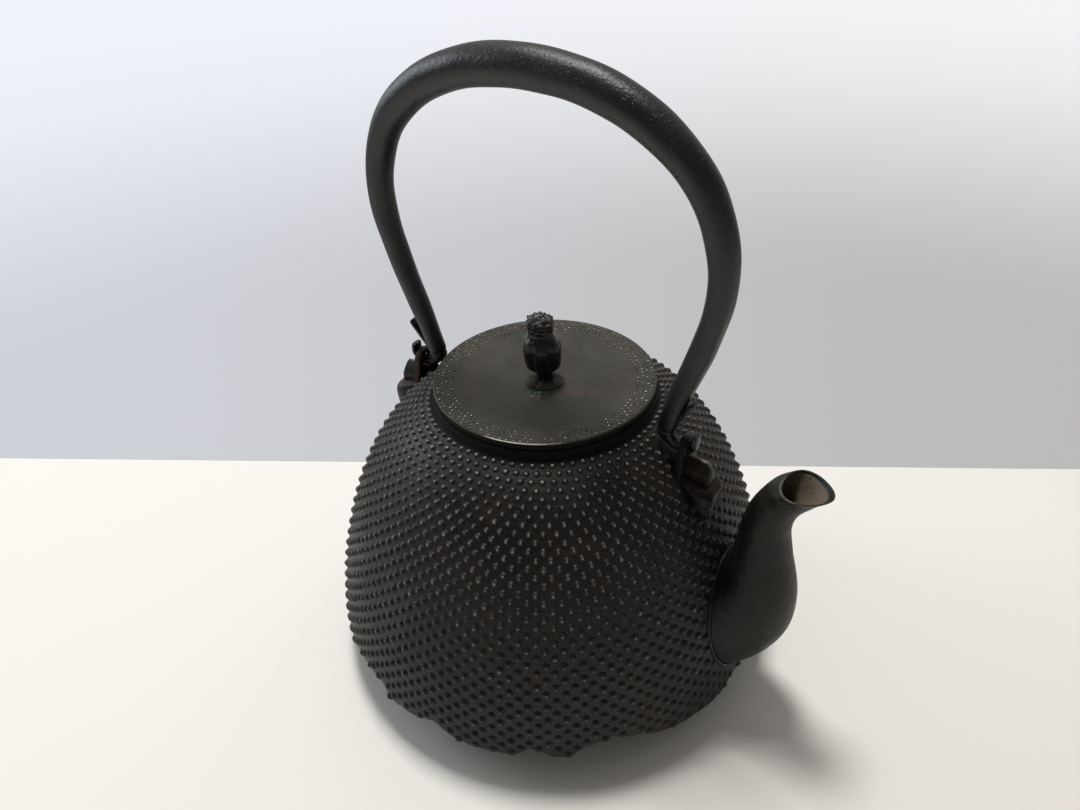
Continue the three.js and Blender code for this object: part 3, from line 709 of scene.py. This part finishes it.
def make_spout_border():
    """Thin raised border where the spout meets the body: a tube along the line in which the spout's
    skin, a little grown, cuts the ground between the studs. Its circles lie in the plane of the
    body's normal and of that normal's cross product with the line's direction."""
    turn = full_turn(240)
    path = spout_point(spout_cut(turn, 0.5, GROUND), turn, 0.5)
    out, up = dome_normal(path[:, 2])
    normal = np.column_stack([unit(path[:, :2]) * out[:, None], up])
    ahead = np.roll(path, -1, axis=0) - np.roll(path, 1, axis=0)
    side = unit(np.cross(unit(ahead), normal))
    rings = circles(path, normal, side, SPOUT_BORDER_RADIUS, 10)
    return mesh_object("spout_border", [joined_rings(rings)], 60, np.full(rings.shape[:2], 0.45))


dress(make_spout_border(), "kettle", "spout_iron", spout_iron)


# Body


def make_body():
    """Cross-section of the casting turned round the axis: mouth, collar with eased edges, the
    ground between the studs down to the torn edge, and back up the inside. The edge's height
    changes with the azimuth. The hole to the spout is cut with the spout's own skin."""
    turn = full_turn(640)
    edge = hem_height(turn)
    z_out = between(COLLAR_FOOT_Z - 0.8, edge + 0.5, shares(62)[1:-1] ** 1.12)
    outside = np.stack(dome_point(z_out, GROUND), -1)
    z_in = between(edge + 0.5, COLLAR_FOOT_Z - 2, shares(30))
    wall = between(HEM_WALL, BODY_WALL, smooth((z_in - WIDEST_Z) / (FLANGE_Z - WIDEST_Z)))
    inside = np.stack(dome_point(z_in, wall), -1)
    radius = dome_radius(edge + 0.3)
    hem = np.stack([
        np.stack([radius - inwards, edge + lift], -1) for inwards, lift in (
            (GROUND + 0.2, 0.15), (GROUND + 0.7, 0), (HEM_WALL - 0.6, 0), (HEM_WALL - 0.15, 0.15))
    ])
    collar = np.vstack([
        [[1, 0.2 - BODY_WALL], [0.15, 0.7 - BODY_WALL], [0, 1.2 - BODY_WALL]]
        + np.array([MOUTH_RADIUS, COLLAR_FOOT_Z]),
        [[0, -0.5], [0.15, -0.15], [0.5, 0]] + np.array([MOUTH_RADIUS, COLLAR_TOP_Z]),
        [[-0.5, 0], [-0.15, -0.12], [0, -0.4]] + np.array([COLLAR_RADIUS, COLLAR_TOP_Z]),
        [[0, 0.5], [0.1, 0.1], [0.5, -0.35]] + np.array([COLLAR_RADIUS, COLLAR_FOOT_Z]),
    ])[:, None, :] + 0 * edge[:, None]
    profile = np.concatenate([collar, outside, hem, inside])
    rings = around(profile[..., 0], turn, profile[..., 1])
    marks = np.zeros(rings.shape[:2])
    # Painted shade: the mouth and collar are marked to be painted matt black under the lid's rim.
    # The torn edge's rows are marked lighter as scuffed.
    marks[:len(collar)] = -1
    marks[len(collar) + len(outside):len(collar) + len(outside) + 3] = 0.7
    made = mesh_object("body_casting", [joined_rings(rings)], 50, marks)

    cutter = mesh_object("cutter", [closed_rings(spout_point(shares(24, 0.42), spout_turn, -0.9))])
    hole = made.modifiers.new("hole", "BOOLEAN")
    hole.operation, hole.object, hole.solver = "DIFFERENCE", cutter, "EXACT"
    ready = made.evaluated_get(bpy.context.evaluated_depsgraph_get())
    cut = bpy.data.meshes.new_from_object(ready)
    made.modifiers.clear()
    made.data = cut
    bpy.data.objects.remove(cutter)
    return made


dress(make_body(), "kettle", "body_iron", body_iron, "body_shell")


def within(polygon, points):
    """True where a point lies in a closed polygon: a ray to the right crosses its sides an odd
    number of times."""
    a, b = polygon, np.roll(polygon, -1, axis=0)
    x, y = points[:, :1], points[:, 1:]
    spans = (a[:, 1] > y) != (b[:, 1] > y)
    rise = np.where(b[:, 1] == a[:, 1], 1e-9, b[:, 1] - a[:, 1])
    crossing = a[:, 0] + (y - a[:, 1]) * (b[:, 0] - a[:, 0]) / rise
    return (spans & (x < crossing)).sum(axis=1) % 2 == 1


def stud_places():
    """Azimuth and height of each stud: rows a fixed step apart along the slope, each turned by half
    a stud from the last, with a little seeded unevenness. Those under the spout, the ears, the
    swinging hooks and the torn edge are left out."""
    z = np.linspace(COLLAR_FOOT_Z, 11, 4000)
    r = dome_radius(z)
    long = np.concatenate([[0], np.cumsum(np.hypot(np.diff(r), np.diff(z)))])
    rows = int((long[-1] - STUD_FIRST_ROW) / STUD_ROW_STEP) + 1
    row, column = np.meshgrid(np.arange(rows), np.arange(STUDS_ROUND), indexing="ij")
    rng = np.random.default_rng(21)
    jitter = rng.normal(0, 0.09, (2, rows, STUDS_ROUND))
    slope = STUD_FIRST_ROW + STUD_ROW_STEP * row + jitter[0]
    height = np.interp(slope, long, z)
    turn = (column + 0.5 * (row % 2)) * TAU / STUDS_ROUND + jitter[1] / dome_radius(height)
    down = row / (rows - 1)
    keep = height > hem_height(turn) + 0.9
    root = spout_point(spout_cut(spout_turn, 1.8, GROUND), spout_turn, 1.8)
    flat = np.column_stack([np.arctan2(root[:, 1], root[:, 0]), root[:, 2]])
    signed = (turn + math.pi) % TAU - math.pi
    keep &= ~within(flat, np.column_stack([signed.ravel(), height.ravel()])).reshape(keep.shape)
    x, y = (f(turn) * dome_radius(height) for f in (np.cos, np.sin))
    for inner, half in BARE_PLACES:
        keep &= (np.abs(x) < inner) | (np.abs(x) > BARE_OUTER_X) | (np.abs(y) > half)
    return turn[keep], height[keep], down[keep]


def make_studs():
    """Each stud is a low cone with a hollow flank and a blunt tip, set along the dome's normal. Its
    radius and height grow slowly from the top row to the bottom row. Its tip is lighter, partly
    scuffing and partly painted glint, less so towards the bottom row, where its foot has painted
    shade."""
    turn, height, down = stud_places()
    rng = np.random.default_rng(5)
    wide = between(*STUD_RADIUS, smooth(down * 1.6)) * rng.normal(1, 0.05, len(turn))
    tall = between(*STUD_HEIGHT, smooth(down * 1.6)) * rng.normal(1, 0.07, len(turn))
    out, up = dome_normal(height)
    r, z = dome_point(height, GROUND)
    cos, sin = np.cos(turn), np.sin(turn)
    place = around(r, turn, z)
    normal = np.stack([out * cos, out * sin, up], -1)
    round_ = np.stack([-sin, cos, 0 * sin], -1)
    levels = np.array([[1.15, -0.3], [0.98, 0.06], [0.68, 0.5], [0.32, 0.92]])
    sides = 8
    part = cones(place, normal, round_, wide, tall, levels, 0.3, sides)
    points_of = [sides] * len(levels) + [1, 1]
    # Marks by ring: the tip and upper ring are lighter, partly scuffing and partly painted glint;
    # fade lowers them row by row towards the bottom, where the feet drop below zero for painted
    # shade.
    wear_and_light = np.repeat([0, 0, 0.25, 0.85, 0, 1.1], points_of)
    fade = np.repeat([0.35, 0.35, 0.35, 0.4, 0.35, 0.35], points_of)
    return mesh_object("body_studs", [part], 80, wear_and_light - fade * down[:, None])


dress(make_studs(), "kettle", "body_iron", body_iron)


# Bottom pan


def make_pan():
    """Bowl and flange turned round the axis. The bowl's side is a quadratic curve from the base to
    the flange; the corners are eased by short bevels."""
    t = shares(24)
    corners = np.array([[BASE_RADIUS, 0], [PAN_RADIUS - PAN_WALL, PAN_WALL], [PAN_RADIUS, FLANGE_Z]])
    bowl = (1 - t) ** 2 * corners[0] + 2 * t * (1 - t) * corners[1] + t**2 * corners[2]
    over = bowl + np.column_stack([-PAN_WALL * bowl[:, 1] / FLANGE_Z, 0 * t[:, 0] + PAN_WALL])
    top = FLANGE_Z + FLANGE_HEIGHT
    over = over[over[:, 1] < top - 0.6]
    flange = np.array([
        [PAN_RADIUS + 0.5, FLANGE_Z], [FLANGE_RADIUS - 0.3, FLANGE_Z],
        [FLANGE_RADIUS, FLANGE_Z + 0.3], [FLANGE_RADIUS, top - 0.3], [FLANGE_RADIUS - 0.3, top],
        [PAN_RADIUS - PAN_WALL + 0.4, top], [PAN_RADIUS - PAN_WALL, top - 0.4],
    ])
    under = np.array([0.03, 0.35, 0.7])[:, None] * [[BASE_RADIUS, 0]]
    floor = under[::-1] + [[0, PAN_WALL]]
    profile = np.vstack([under, bowl, flange, over[::-1], floor])
    return mesh_object("pan_casting", [closed_rings(rings_round(profile, 160))], 40)


dress(make_pan(), "kettle", "body_iron", pan_iron, "bottom_pan")


# Lid


def lid_dish(r):
    """Height of the dished top's parabola."""
    return LID_UNDER_Z + LID_RIM - LID_DISH * (1 - (r / LID_RADIUS) ** 2)


def lid_top(r):
    """Height of the top: the parabola, lowered by a bell curve less its value at the seat's edge
    where that is below zero, so that the top falls a little outside the knob's seat."""
    mound = LID_MOUND * np.exp(-((r / MOUND_RADIUS) ** 2))
    mound = mound - LID_MOUND * np.exp(-((KNOB_SEAT_RADIUS / MOUND_RADIUS) ** 2))
    return lid_dish(r) + np.minimum(mound, 0)


def make_lid():
    """Dished plate, rim with eased edges and spigot ring, turned round the axis."""
    hole = KNOB_PIN_RADIUS + SEAT_GAP
    spigot_end = LID_UNDER_Z - LID_SPIGOT_DEPTH
    spigot_in = LID_SPIGOT_RADIUS - LID_SPIGOT_WALL
    r_under = np.linspace(hole, spigot_in - 0.8, 12)
    under = np.column_stack([r_under, lid_dish(r_under) - LID_WALL])
    top_z = LID_UNDER_Z + LID_RIM
    rim = np.array([
        [spigot_in, spigot_end + 0.4], [spigot_in + 0.4, spigot_end],
        [LID_SPIGOT_RADIUS - 0.4, spigot_end], [LID_SPIGOT_RADIUS, spigot_end + 0.4],
        [LID_SPIGOT_RADIUS, LID_UNDER_Z - 0.3], [LID_SPIGOT_RADIUS + 0.3, LID_UNDER_Z],
        [LID_RADIUS - 0.4, LID_UNDER_Z], [LID_RADIUS, LID_UNDER_Z + 0.4],
        [LID_RADIUS, top_z - 0.55], [LID_RADIUS - 0.12, top_z - 0.22],
        [LID_RADIUS - 0.4, top_z - 0.04],
    ])
    r_top = np.concatenate([np.linspace(LID_RADIUS - 0.8, 9, 22), np.linspace(8, hole, 8)])
    top = np.column_stack([r_top, lid_top(r_top)])
    profile = np.vstack([under, rim, top])
    steps = 256
    marks = np.zeros((len(profile), steps))
    # Painted shade: the underside, the spigot and the rim's outer side are marked to be painted matt
    # black. Painted highlight: the rim's rounded top edge is marked lighter, most along one stretch
    # of it.
    away = np.abs(wrapped(np.degrees(full_turn(steps)) - LID_GLINT_AZIMUTH))
    marks[:len(under) + 9] = -0.8
    marks[len(under) + 9:len(under) + 11] = 0.25 + 0.95 * smooth(1 - away / 38)
    return mesh_object("lid_casting", [joined_rings(rings_round(profile, steps))], 40, marks)


dress(make_lid(), "lid", "lid_iron", lid_iron, "lid_plate")


def make_lid_dots():
    """Staggered rows of small dots in the band inside the lid's rim: each is a cone of three rings
    of six points, whose top ring and tip carry a painted glint, some brighter than others."""
    rng = np.random.default_rng(3)
    shape = (LID_DOT_ROWS, LID_DOTS_ROUND)
    row, column = np.meshgrid(*(np.arange(count) for count in shape), indexing="ij")
    r = LID_DOTS_RADIUS - LID_DOT_STEP * row + rng.normal(0, 0.12, shape)
    turn = (column + 0.5 * (row % 2)) * TAU / LID_DOTS_ROUND + rng.normal(0, 0.12, shape) / r
    r, turn = r.ravel(), turn.ravel()
    wide = LID_DOT_SIZE[0] * rng.normal(1, 0.14, len(r))
    tall = LID_DOT_SIZE[1] * rng.normal(1, 0.22, len(r))
    place = around(r, turn, lid_top(r))
    up, side = (np.tile(axis, (len(r), 1)) for axis in ([0, 0, 1], [1, 0, 0]))
    levels = np.array([[1.15, -0.5], [0.8, 0.35], [0.4, 0.85]])
    sides = 6
    part = cones(place, up, side, wide, tall, levels, 0.5, sides)
    # Painted glints on the top ring and tip of each dot, of random strength.
    wear_and_light = np.repeat([0, 0, 1, 0, 1], [sides] * len(levels) + [1, 1])
    return mesh_object("lid_dots", [part], 80, wear_and_light * rng.uniform(0.45, 1.2, (len(r), 1)))


dress(make_lid_dots(), "lid", "lid_iron", lid_iron)


# Knob


def make_knob():
    """Fruit-shaped knob: the outline's radius, drawn in by six ribs on the belly and by deeper
    lobes and small lumps on the crown, which is hollow in its middle. Its pin runs down through
    the lid to a clinched end."""
    foot = LID_MIDDLE_Z + KNOB_SEAT_THICKNESS + 2 * SEAT_GAP
    pin_end = LID_MIDDLE_Z - LID_WALL - SEAT_GAP - 1 - SEAT_GAP
    turn = full_turn(96)
    line = through(KNOB_OUTLINE, np.linspace(0, 1, 110))
    r, z = line[:, :1], line[:, 1:]
    belly = np.clip(np.sin(math.pi * np.minimum(z, KNOB_NECK_Z) / KNOB_NECK_Z), 0, 1)
    crown = smooth((z - KNOB_NECK_Z) / 3)
    rib = 0.5 - 0.5 * np.cos(6 * turn)
    sharp = rib**2.5
    lump = 0.5 + 0.5 * np.sin(7 * turn + 1.3 * z) * np.sin(4 * turn - 2.3 * z + 1)
    curl = 0.5 + 0.5 * np.sin(11 * turn - 3.1 * z) * np.cos(1.9 * r * np.cos(turn) + 0.6)
    radius = r * (1 - 0.1 * belly * sharp - crown * (0.1 * rib + 0.11 * lump + 0.04 * curl))
    sag = crown * (0.5 * smooth(1 - r / 4.2) + 0.7 * (lump - 0.5) * smooth(r / 2) + 0.3 * curl)
    shift = KNOB_LEAN * z
    body = around(radius, turn, foot + z - sag) - shift[..., None] * [0.82, 0.57, 0]
    pin, clinch = KNOB_PIN_RADIUS, KNOB_CLINCH_RADIUS
    pin = [[pin, pin_end - 1.4], [clinch, pin_end - 0.56], [clinch, pin_end], [pin, pin_end],
           [pin, foot]]
    shaft = rings_round(np.array(pin), len(turn))
    high = 0.2 * np.clip(1 - sharp, 0, 1) * belly + crown * (0.62 - 0.35 * lump)
    rings = np.concatenate([shaft, body])
    marks = np.concatenate([np.zeros(shaft.shape[:2]).ravel(), high.ravel(), [0, 0.3]])
    return mesh_object("knob_fruit", [closed_rings(rings)], 60, marks)


dress(make_knob(), "lid", "knob_bronze", knob_bronze, "knob")


def make_knob_seat():
    """Flower-shaped seat: a low cone whose edge draws in between six petals, with a crease down
    each valley."""
    turn = full_turn(144)
    valley = 1 - np.abs(np.cos(3 * turn))
    low = LID_MIDDLE_Z + SEAT_GAP
    top = low + KNOB_SEAT_THICKNESS
    edge = KNOB_SEAT_RADIUS * (1 - 0.09 * valley**2)
    hole = KNOB_PIN_RADIUS + SEAT_GAP
    levels = [
        (hole, low, 0), (1.0, low, 0), (1.0, low + 0.12, 0.04), (0.9, low + 0.32, 0.12),
        (0.66, low + 0.66, 0.2), (0.5, low + 1.15, 0.15), (0.44, top, 0.1), (hole, top, 0),
    ]
    rings = []
    for share, z, crease in levels:
        r = share * edge if share <= 1 else share + 0 * edge
        rings.append(around(r, turn, z - crease * valley))
    # Painted shade: the seat darkens towards the knob's foot, and the edges of its hole are painted
    # matt black.
    return mesh_object("knob_flower", [joined_rings(np.stack(rings))], 50,
                       np.repeat([-1.0, 0, 0, 0, -0.1, -0.4, -0.8, -1], len(turn)))


dress(make_knob_seat(), "lid", "knob_bronze", seat_bronze, "knob_seat")

for name, material in (("knob_washer", knob_bronze), ("bottom_seam", seal_black)):
    coat(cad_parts[name], material)


# Handle and hooks


def lean(points):
    """Points turned about the hinge line by the handle's lean."""
    x, y, z = points[..., 0], points[..., 1], points[..., 2] - HINGE_Z
    c, s = math.cos(HANDLE_LEAN), math.sin(HANDLE_LEAN)
    return np.stack([x, y * c - z * s, y * s + z * c + HINGE_Z], -1)


def handle_line(count):
    """Points of the centre line evenly along its length, and its directions there."""
    both = np.vstack([HANDLE_HALF[:0:-1] * [-1, 1], HANDLE_HALF])
    dense = through(both, np.linspace(0, 1, 6001))
    long = np.concatenate([[0], np.cumsum(np.linalg.norm(np.diff(dense, axis=0), axis=1))])
    at = np.linspace(0, long[-1], count)
    line = np.column_stack([np.interp(at, long, dense[:, k]) for k in (0, 1)])
    return line, unit(np.gradient(line, axis=0)), long[-1]


def handle_rings(line, ahead, radius, sides):
    """Circles square to the line: across is the Y axis, the other direction lies in its plane."""
    side = np.column_stack([ahead[:, 1], 0 * ahead[:, 0], -ahead[:, 0]])
    centre = np.column_stack([line[:, 0], 0 * line[:, 0], line[:, 1]])
    return circles(centre, side, 0 * side + [0, 1, 0], radius[..., None], sides)


def make_handle():
    """Hollow tube: circles along the centre line, thickest at the crown, whose radius wavers a
    little with slow sines along and round it, as forged work does. The same circles, less the
    wall, run back inside."""
    count, sides = 260, 48
    line, ahead, long = handle_line(count)
    low, high = HANDLE_HALF[-1, 1], HANDLE_HALF[0, 1]
    rise = np.clip((line[:, 1] - low) / (high - low), 0, 1)
    radius = between(HANDLE_END_RADIUS, HANDLE_CROWN_RADIUS, rise**HANDLE_TAPER)
    radius = radius - HANDLE_END_NECK * (1 - smooth(rise / 0.28))
    at = np.linspace(0, long, count)[:, None]
    turn = full_turn(sides)
    waver = 0.07 * np.sin(at / 7.3 + 1.2 * np.sin(turn)) + 0.05 * np.sin(at / 3.1 + 2 * turn)
    outer = radius[:, None] + waver - 0.12
    ease = np.minimum(at, long - at)
    outer = outer - 0.5 * np.clip(1 - ease / 1.0, 0, 1) ** 2
    outside = handle_rings(line, ahead, outer, sides)
    inner = radius[::8, None] - HANDLE_WALL + 0 * turn
    inside = handle_rings(line[::8], ahead[::8], inner, sides)
    last = handle_rings(line[-1:], ahead[-1:], inner[-1:] * 0 + radius[-1] - HANDLE_WALL, sides)
    rings = lean(np.concatenate([outside, last, inside[::-1]]))
    marks = np.zeros(rings.shape[:2])
    marks[:count] += 0.45 * smooth((rise[:, None] - 0.75) / 0.25) * np.clip(-np.cos(turn), 0, 1)
    return mesh_object("handle_hollow", [joined_rings(rings)], 50, marks)


dress(make_handle(), "handle", "handle_iron", handle_iron, "handle_tube")


def squared_circle(count, power):
    """Cosines and sines round a circle, each raised to a power with its sign kept: a superellipse,
    which is squarer the lower the power."""
    turn = full_turn(count)
    return (np.sign(f(turn)) * np.abs(f(turn)) ** power for f in (np.cos, np.sin))


def oval_rod(rows, steps, power):
    """Rod through rows of place, half depth in the handle's plane and half width across it. Each
    section is a superellipse."""
    path = through(rows, np.linspace(0, 1, steps))
    line, depth, half = path[:, :2], path[:, 2:3], path[:, 3:4]
    ahead = unit(np.gradient(line, axis=0))
    side = np.column_stack([ahead[:, 1], -ahead[:, 0]])
    cos, sin = squared_circle(28, power)
    return np.stack([
        line[:, :1] + side[:, :1] * depth * cos,
        half * sin,
        line[:, 1:] + side[:, 1:] * depth * cos,
    ], -1)


def make_hook(end, mirror):
    """Forged hook: an oval rod from inside the tube round the elbow and through the eye to a square
    upturned tip, and a flat strap, slightly bowed, that stands off the leg above it."""
    shank = np.array([
        [51.6, 123.6, 1.8, 1.8], [50, 118, 1.85, 1.85], [48.7, 112.9, 1.9, 1.9],
        [48.6, 112.3, 3, 3], [48.7, 111.6, 3.2, 3.1], [48.8, 110.8, 3, 2.8],
        [49.4, 109.7, 2.5, 2.4], [50.4, 108.5, 2.1, 2.1], [51.5, 107.5, 1.85, 1.9],
        [52.8, 106.85, 1.75, 1.8], [54.2, 106.6, 1.75, 1.75], [56.5, 106.6, 1.75, 1.75],
        [57.9, 106.8, 1.45, 1.7], [59, 107.7, 1.25, 1.8], [59.5, 109.4, 1.2, 2.4],
        [59.5, 111.8, 1.15, 2.4], [59.4, 112.9, 1.0, 2.2], [59.4, 113.2, 0.6, 1.6],
    ])
    foot, top = TAB_FOOT, TAB_TOP[end]
    share = np.array([0, 0.05, 0.3, 0.65, 0.93, 0.985, 1])[:, None]
    bow = 0.35 * np.sin(math.pi * share)
    strap = np.hstack([
        between(foot, top, share) + bow * [[-0.8, 0.5]],
        [[0.5], [0.8], [0.85], [0.8], [0.75], [0.65], [0.4]],
        [[1.2], [1.7], [2.2], [2.4], [2.3], [1.9], [1.2]],
    ])
    parts = [oval_rod(shank, 110, 0.8), oval_rod(strap, 40, 0.5)]
    if mirror:
        parts = [rings * [-1, -1, 1] for rings in parts]
    # The rod's outer half and the strap's upper half are marked lighter: painted glints on the
    # hook's tip and the strap's top end.
    marks = []
    for rings, level in zip(parts, (0.25, 0.5)):
        high = smooth((np.arange(len(rings)) / len(rings) - 0.55) / 0.3)[:, None]
        marks += [(level * high + np.zeros(rings.shape[:2])).ravel(), [0, level]]
    skins = [closed_rings(lean(rings)) for rings in parts]
    return mesh_object("hook_" + end, skins, 50, np.concatenate(marks))


dress(make_hook("front", False), "handle", "handle_iron", handle_iron, "handle_hook_front")
dress(make_hook("rear", True), "handle", "handle_iron", handle_iron, "handle_hook_rear")


# Ears


def eye_plate():
    """Ring round the hinge hole that spreads to a foot: at each angle the outline is the farther of
    the round end and the flared foot, and eased edges join its two faces to the hole's wall."""
    angle = full_turn(120)
    y, z = np.cos(angle), np.sin(angle)
    drop, half, foot = 11.5, EYE_RADIUS, EYE_RADIUS + 2.6
    slope = (foot - half) / drop
    side = half / np.maximum(np.abs(y) + z * slope, 1e-3)
    base = drop / np.maximum(-z, 1e-3)
    outline = np.where(z >= 0, EYE_RADIUS, np.minimum(side, base))
    levels = [
        (EYE_HOLE + 0.35, 0, True), (EYE_HOLE, 0.35, True), (EYE_HOLE, EYE_THICKNESS - 0.35, True),
        (EYE_HOLE + 0.35, EYE_THICKNESS, True), (-0.5, EYE_THICKNESS, False),
        (-0.12, EYE_THICKNESS - 0.15, False), (0, EYE_THICKNESS - 0.5, False), (0, 0.5, False),
        (-0.12, 0.15, False), (-0.5, 0, False),
    ]
    rings = []
    for r, x, hole in levels:
        radius = r + 0 * outline if hole else outline + r
        rings.append(np.stack([EYE_INNER_X + x + 0 * angle, radius * y, HINGE_Z + radius * z], -1))
    return joined_rings(np.stack(rings))


def ear_nose():
    """Keel-like boss under the eye. Each section across X is a pentagon with eased corners: a ridge
    on top, a shoulder on either side, and undercut flanks that meet in a narrow foot."""
    s = shares(44)
    x = EYE_INNER_X - 0.3 + NOSE_LENGTH * s
    droop = 2.6 * smooth((s - 0.82) / 0.18) + 0.9 * s
    close = np.sqrt(np.clip(1 - np.clip((s - 0.9) / 0.1, 0, 1) ** 2, 0, 1))
    shape = through(np.array([
        [0, 5.1], [0.5, 4.95], [2.4, 3.3], [3.7, 1.4], [3.9, -0.6], [3.5, -2.6], [2.9, -4.4],
        [1.6, -5.2], [0, -5.4],
    ]), np.linspace(0, 1, 25))
    shape = np.vstack([shape, shape[-2:0:-1] * [-1, 1]])
    half = shape[:, 0] * (1 - 0.12 * s) * (0.25 + 0.75 * close)
    lift = shape[:, 1] * (0.3 + 0.7 * close)
    return closed_rings(np.stack([x + 0 * half, half, NOSE_Z + lift - droop], -1))


def ear_leaf():
    """Jaw that flares off the shoulder under the boss: square superellipses between an inner and an
    outer line. Its upright end face, a set of the last section drawn in to its middle height, is
    fluted by a cosine across it."""
    section = through(EAR_LEAF, np.linspace(0, 1, 70))
    inner, outer, half = section[:, None, :2], section[:, None, 2:4], section[:, None, 4]
    middle, reach = (inner + outer) / 2, (outer - inner) / 2
    cos, sin = squared_circle(96, 0.55)
    y = half * sin
    place = middle + reach * cos[:, None]
    drawn = np.array([0.97, 0.88, 0.6, 0.3, 0.03])[:, None]
    groove = 0.45 * (0.5 - 0.5 * np.cos(y[-1] * TAU / 2.6)) * smooth((1 - drawn) / 0.12)
    face = middle[-1] + reach[-1] * (cos * drawn)[..., None]
    face[..., 0] += 0.25 - groove
    place = np.concatenate([place, face])
    y = np.vstack([y, y[-1] * (1 - 0.02 / np.maximum(drawn, 0.2))])
    return closed_rings(np.stack([place[..., 0], y, place[..., 1]], -1))


def make_ear(name, mirror):
    """Eye, boss and jaw, with painted highlights on the eye's rim, along the boss's ridge and down
    one edge of the jaw.
    """
    parts = [eye_plate(), ear_nose(), ear_leaf()]
    if mirror:
        parts = [(points * [-1, -1, 1], faces) for points, faces in parts]
    plate, nose, leaf = (points for points, _ in parts)
    # Painted highlights: the boss's ridge, the eye's outer rim and one edge of the jaw's end are
    # marked lighter.
    ridge = 0.75 * smooth(1.4 - np.abs(nose[:, 1])) * smooth((nose[:, 2] - NOSE_Z - 0.4) / 2)
    far = leaf[:, 1] * np.sign(leaf[:, 0])
    tip = 0.75 * smooth((np.abs(leaf[:, 0]) - 67) / 0.8) * smooth((far - 4.9) / 0.4)
    rim = 0.5 * smooth((np.abs(plate[:, 0]) - 57) / 0.5) * smooth((plate[:, 2] - 109) / 1.5)
    return mesh_object(name, parts, 45, np.concatenate([rim, ridge, tip]))


dress(make_ear("ear_spout_side", False), "kettle", "spout_iron", ear_iron, "ear_front")
dress(make_ear("ear_far_side", True), "kettle", "spout_iron", ear_iron, "ear_rear")


# Floor, light and camera


def make_floor():
    """Plain pale floor. Its far edge is the line at which the photograph's floor ends."""
    corners = np.array([
        [-1753, -883, 0], [1620, 1024, 0], [2850, -1152, 0], [-523, -3059, 0],
    ])
    mesh = bpy.data.meshes.new("floor")
    mesh.from_pydata((corners * MM).tolist(), [], [[0, 3, 2, 1]])
    material = bpy.data.materials.new("floor_white")
    material.use_nodes = True
    shader = material.node_tree.nodes["Principled BSDF"]
    shader.inputs["Base Color"].default_value = rgb(238, 236, 231)
    shader.inputs["Roughness"].default_value = 0.7
    shader.inputs["Specular IOR Level"].default_value = 0.2
    mesh.materials.append(material)
    in_scene("floor", mesh)


make_floor()


def set_up(made, place, axes):
    """Puts an object at a place in metres, with three directions as its axes."""
    turn = Matrix(np.column_stack(axes).tolist()).to_4x4()
    made.matrix_world = Matrix.Translation(place) @ turn


def area_lamp(name, place, aim, width, height, power, colour):
    """Rectangular lamp at a place in metres, turned to a point that it lights."""
    data = bpy.data.lights.new(name, "AREA")
    data.shape = "RECTANGLE"
    data.size, data.size_y = width, height
    data.energy = power
    data.color = colour
    z = unit(np.array(place) - np.array(aim))
    x = unit(np.cross([0, 1, 0] if abs(z[2]) > 0.9 else [0, 0, 1], z))
    set_up(in_scene(name, data), place, [x, np.cross(z, x), z])


area_lamp("ceiling_lamp", (-0.25, 0.2, 1.5), (0, 0, 0.1), 0.3, 0.3, 16, (1.0, 0.975, 0.94))
area_lamp("window", (-1.5, -0.2, 0.62), (0, 0, 0.1), 0.9, 0.7, 9, (0.82, 0.9, 1.0))


def make_room():
    """Soft light of a pale room: a dim ceiling, and a brighter band where the wall behind the
    kettle stands. What the camera sees past the floor is the wall's own pale grey, a little
    lighter towards its top."""
    world = bpy.data.worlds.new("pale_room")
    world.use_nodes = True
    tree = world.node_tree
    at = add(tree, "TexCoord").outputs["Generated"]

    def towards(direction, low, high):
        """How far the view turns towards a direction: the cosine between them, from low to high."""
        made = add(tree, "VectorMath", {0: at, 1: direction}, operation="DOT_PRODUCT")
        return ramp(tree, made.outputs["Value"], low, high)

    lit = blend(tree, towards((-0.47, 0.84, 0.27), 0.0, 0.8), rgb(120, 118, 115), rgb(196, 194, 192))
    across = towards((0.82, 0.57, 0.0), -0.5, 0.5)
    low = blend(tree, across, rgb(207, 209, 216), rgb(188, 187, 186))
    high = blend(tree, across, rgb(238, 242, 251), rgb(244, 243, 245))
    seen = blend(tree, towards((0.0, 0.0, 1.0), -0.47, -0.2), low, high)
    light = tree.nodes["Background"]
    tree.links.new(lit, light.inputs["Color"])
    wall = add(tree, "Background", {"Color": seen})
    ray = add(tree, "LightPath").outputs["Is Camera Ray"]
    mixed = add(tree, "MixShader", {0: ray, 1: light.outputs[0], 2: wall.outputs[0]})
    tree.links.new(mixed.outputs[0], tree.nodes["World Output"].inputs["Surface"])
    bpy.context.scene.world = world


make_room()
bpy.context.scene.view_settings.view_transform = "Standard"


def make_camera(place, lens, roll):
    """Camera that looks along a unit vector, with its right and down turned by the roll."""
    data = bpy.data.cameras.new("camera")
    data.lens, data.sensor_width = lens, 36
    ahead = np.array([-0.4617, 0.6712, -0.5800])
    right = np.array([0.8239, 0.5668, 0.0])
    down = np.array([0.3287, -0.4779, -0.8146])
    c, s = math.cos(roll), math.sin(roll)
    camera = in_scene("camera", data)
    set_up(camera, place, [c * right + s * down, s * right - c * down, -ahead])
    bpy.context.scene.camera = camera


make_camera((0.1585, -0.2342, 0.3056), 31.68, math.radians(2.6))
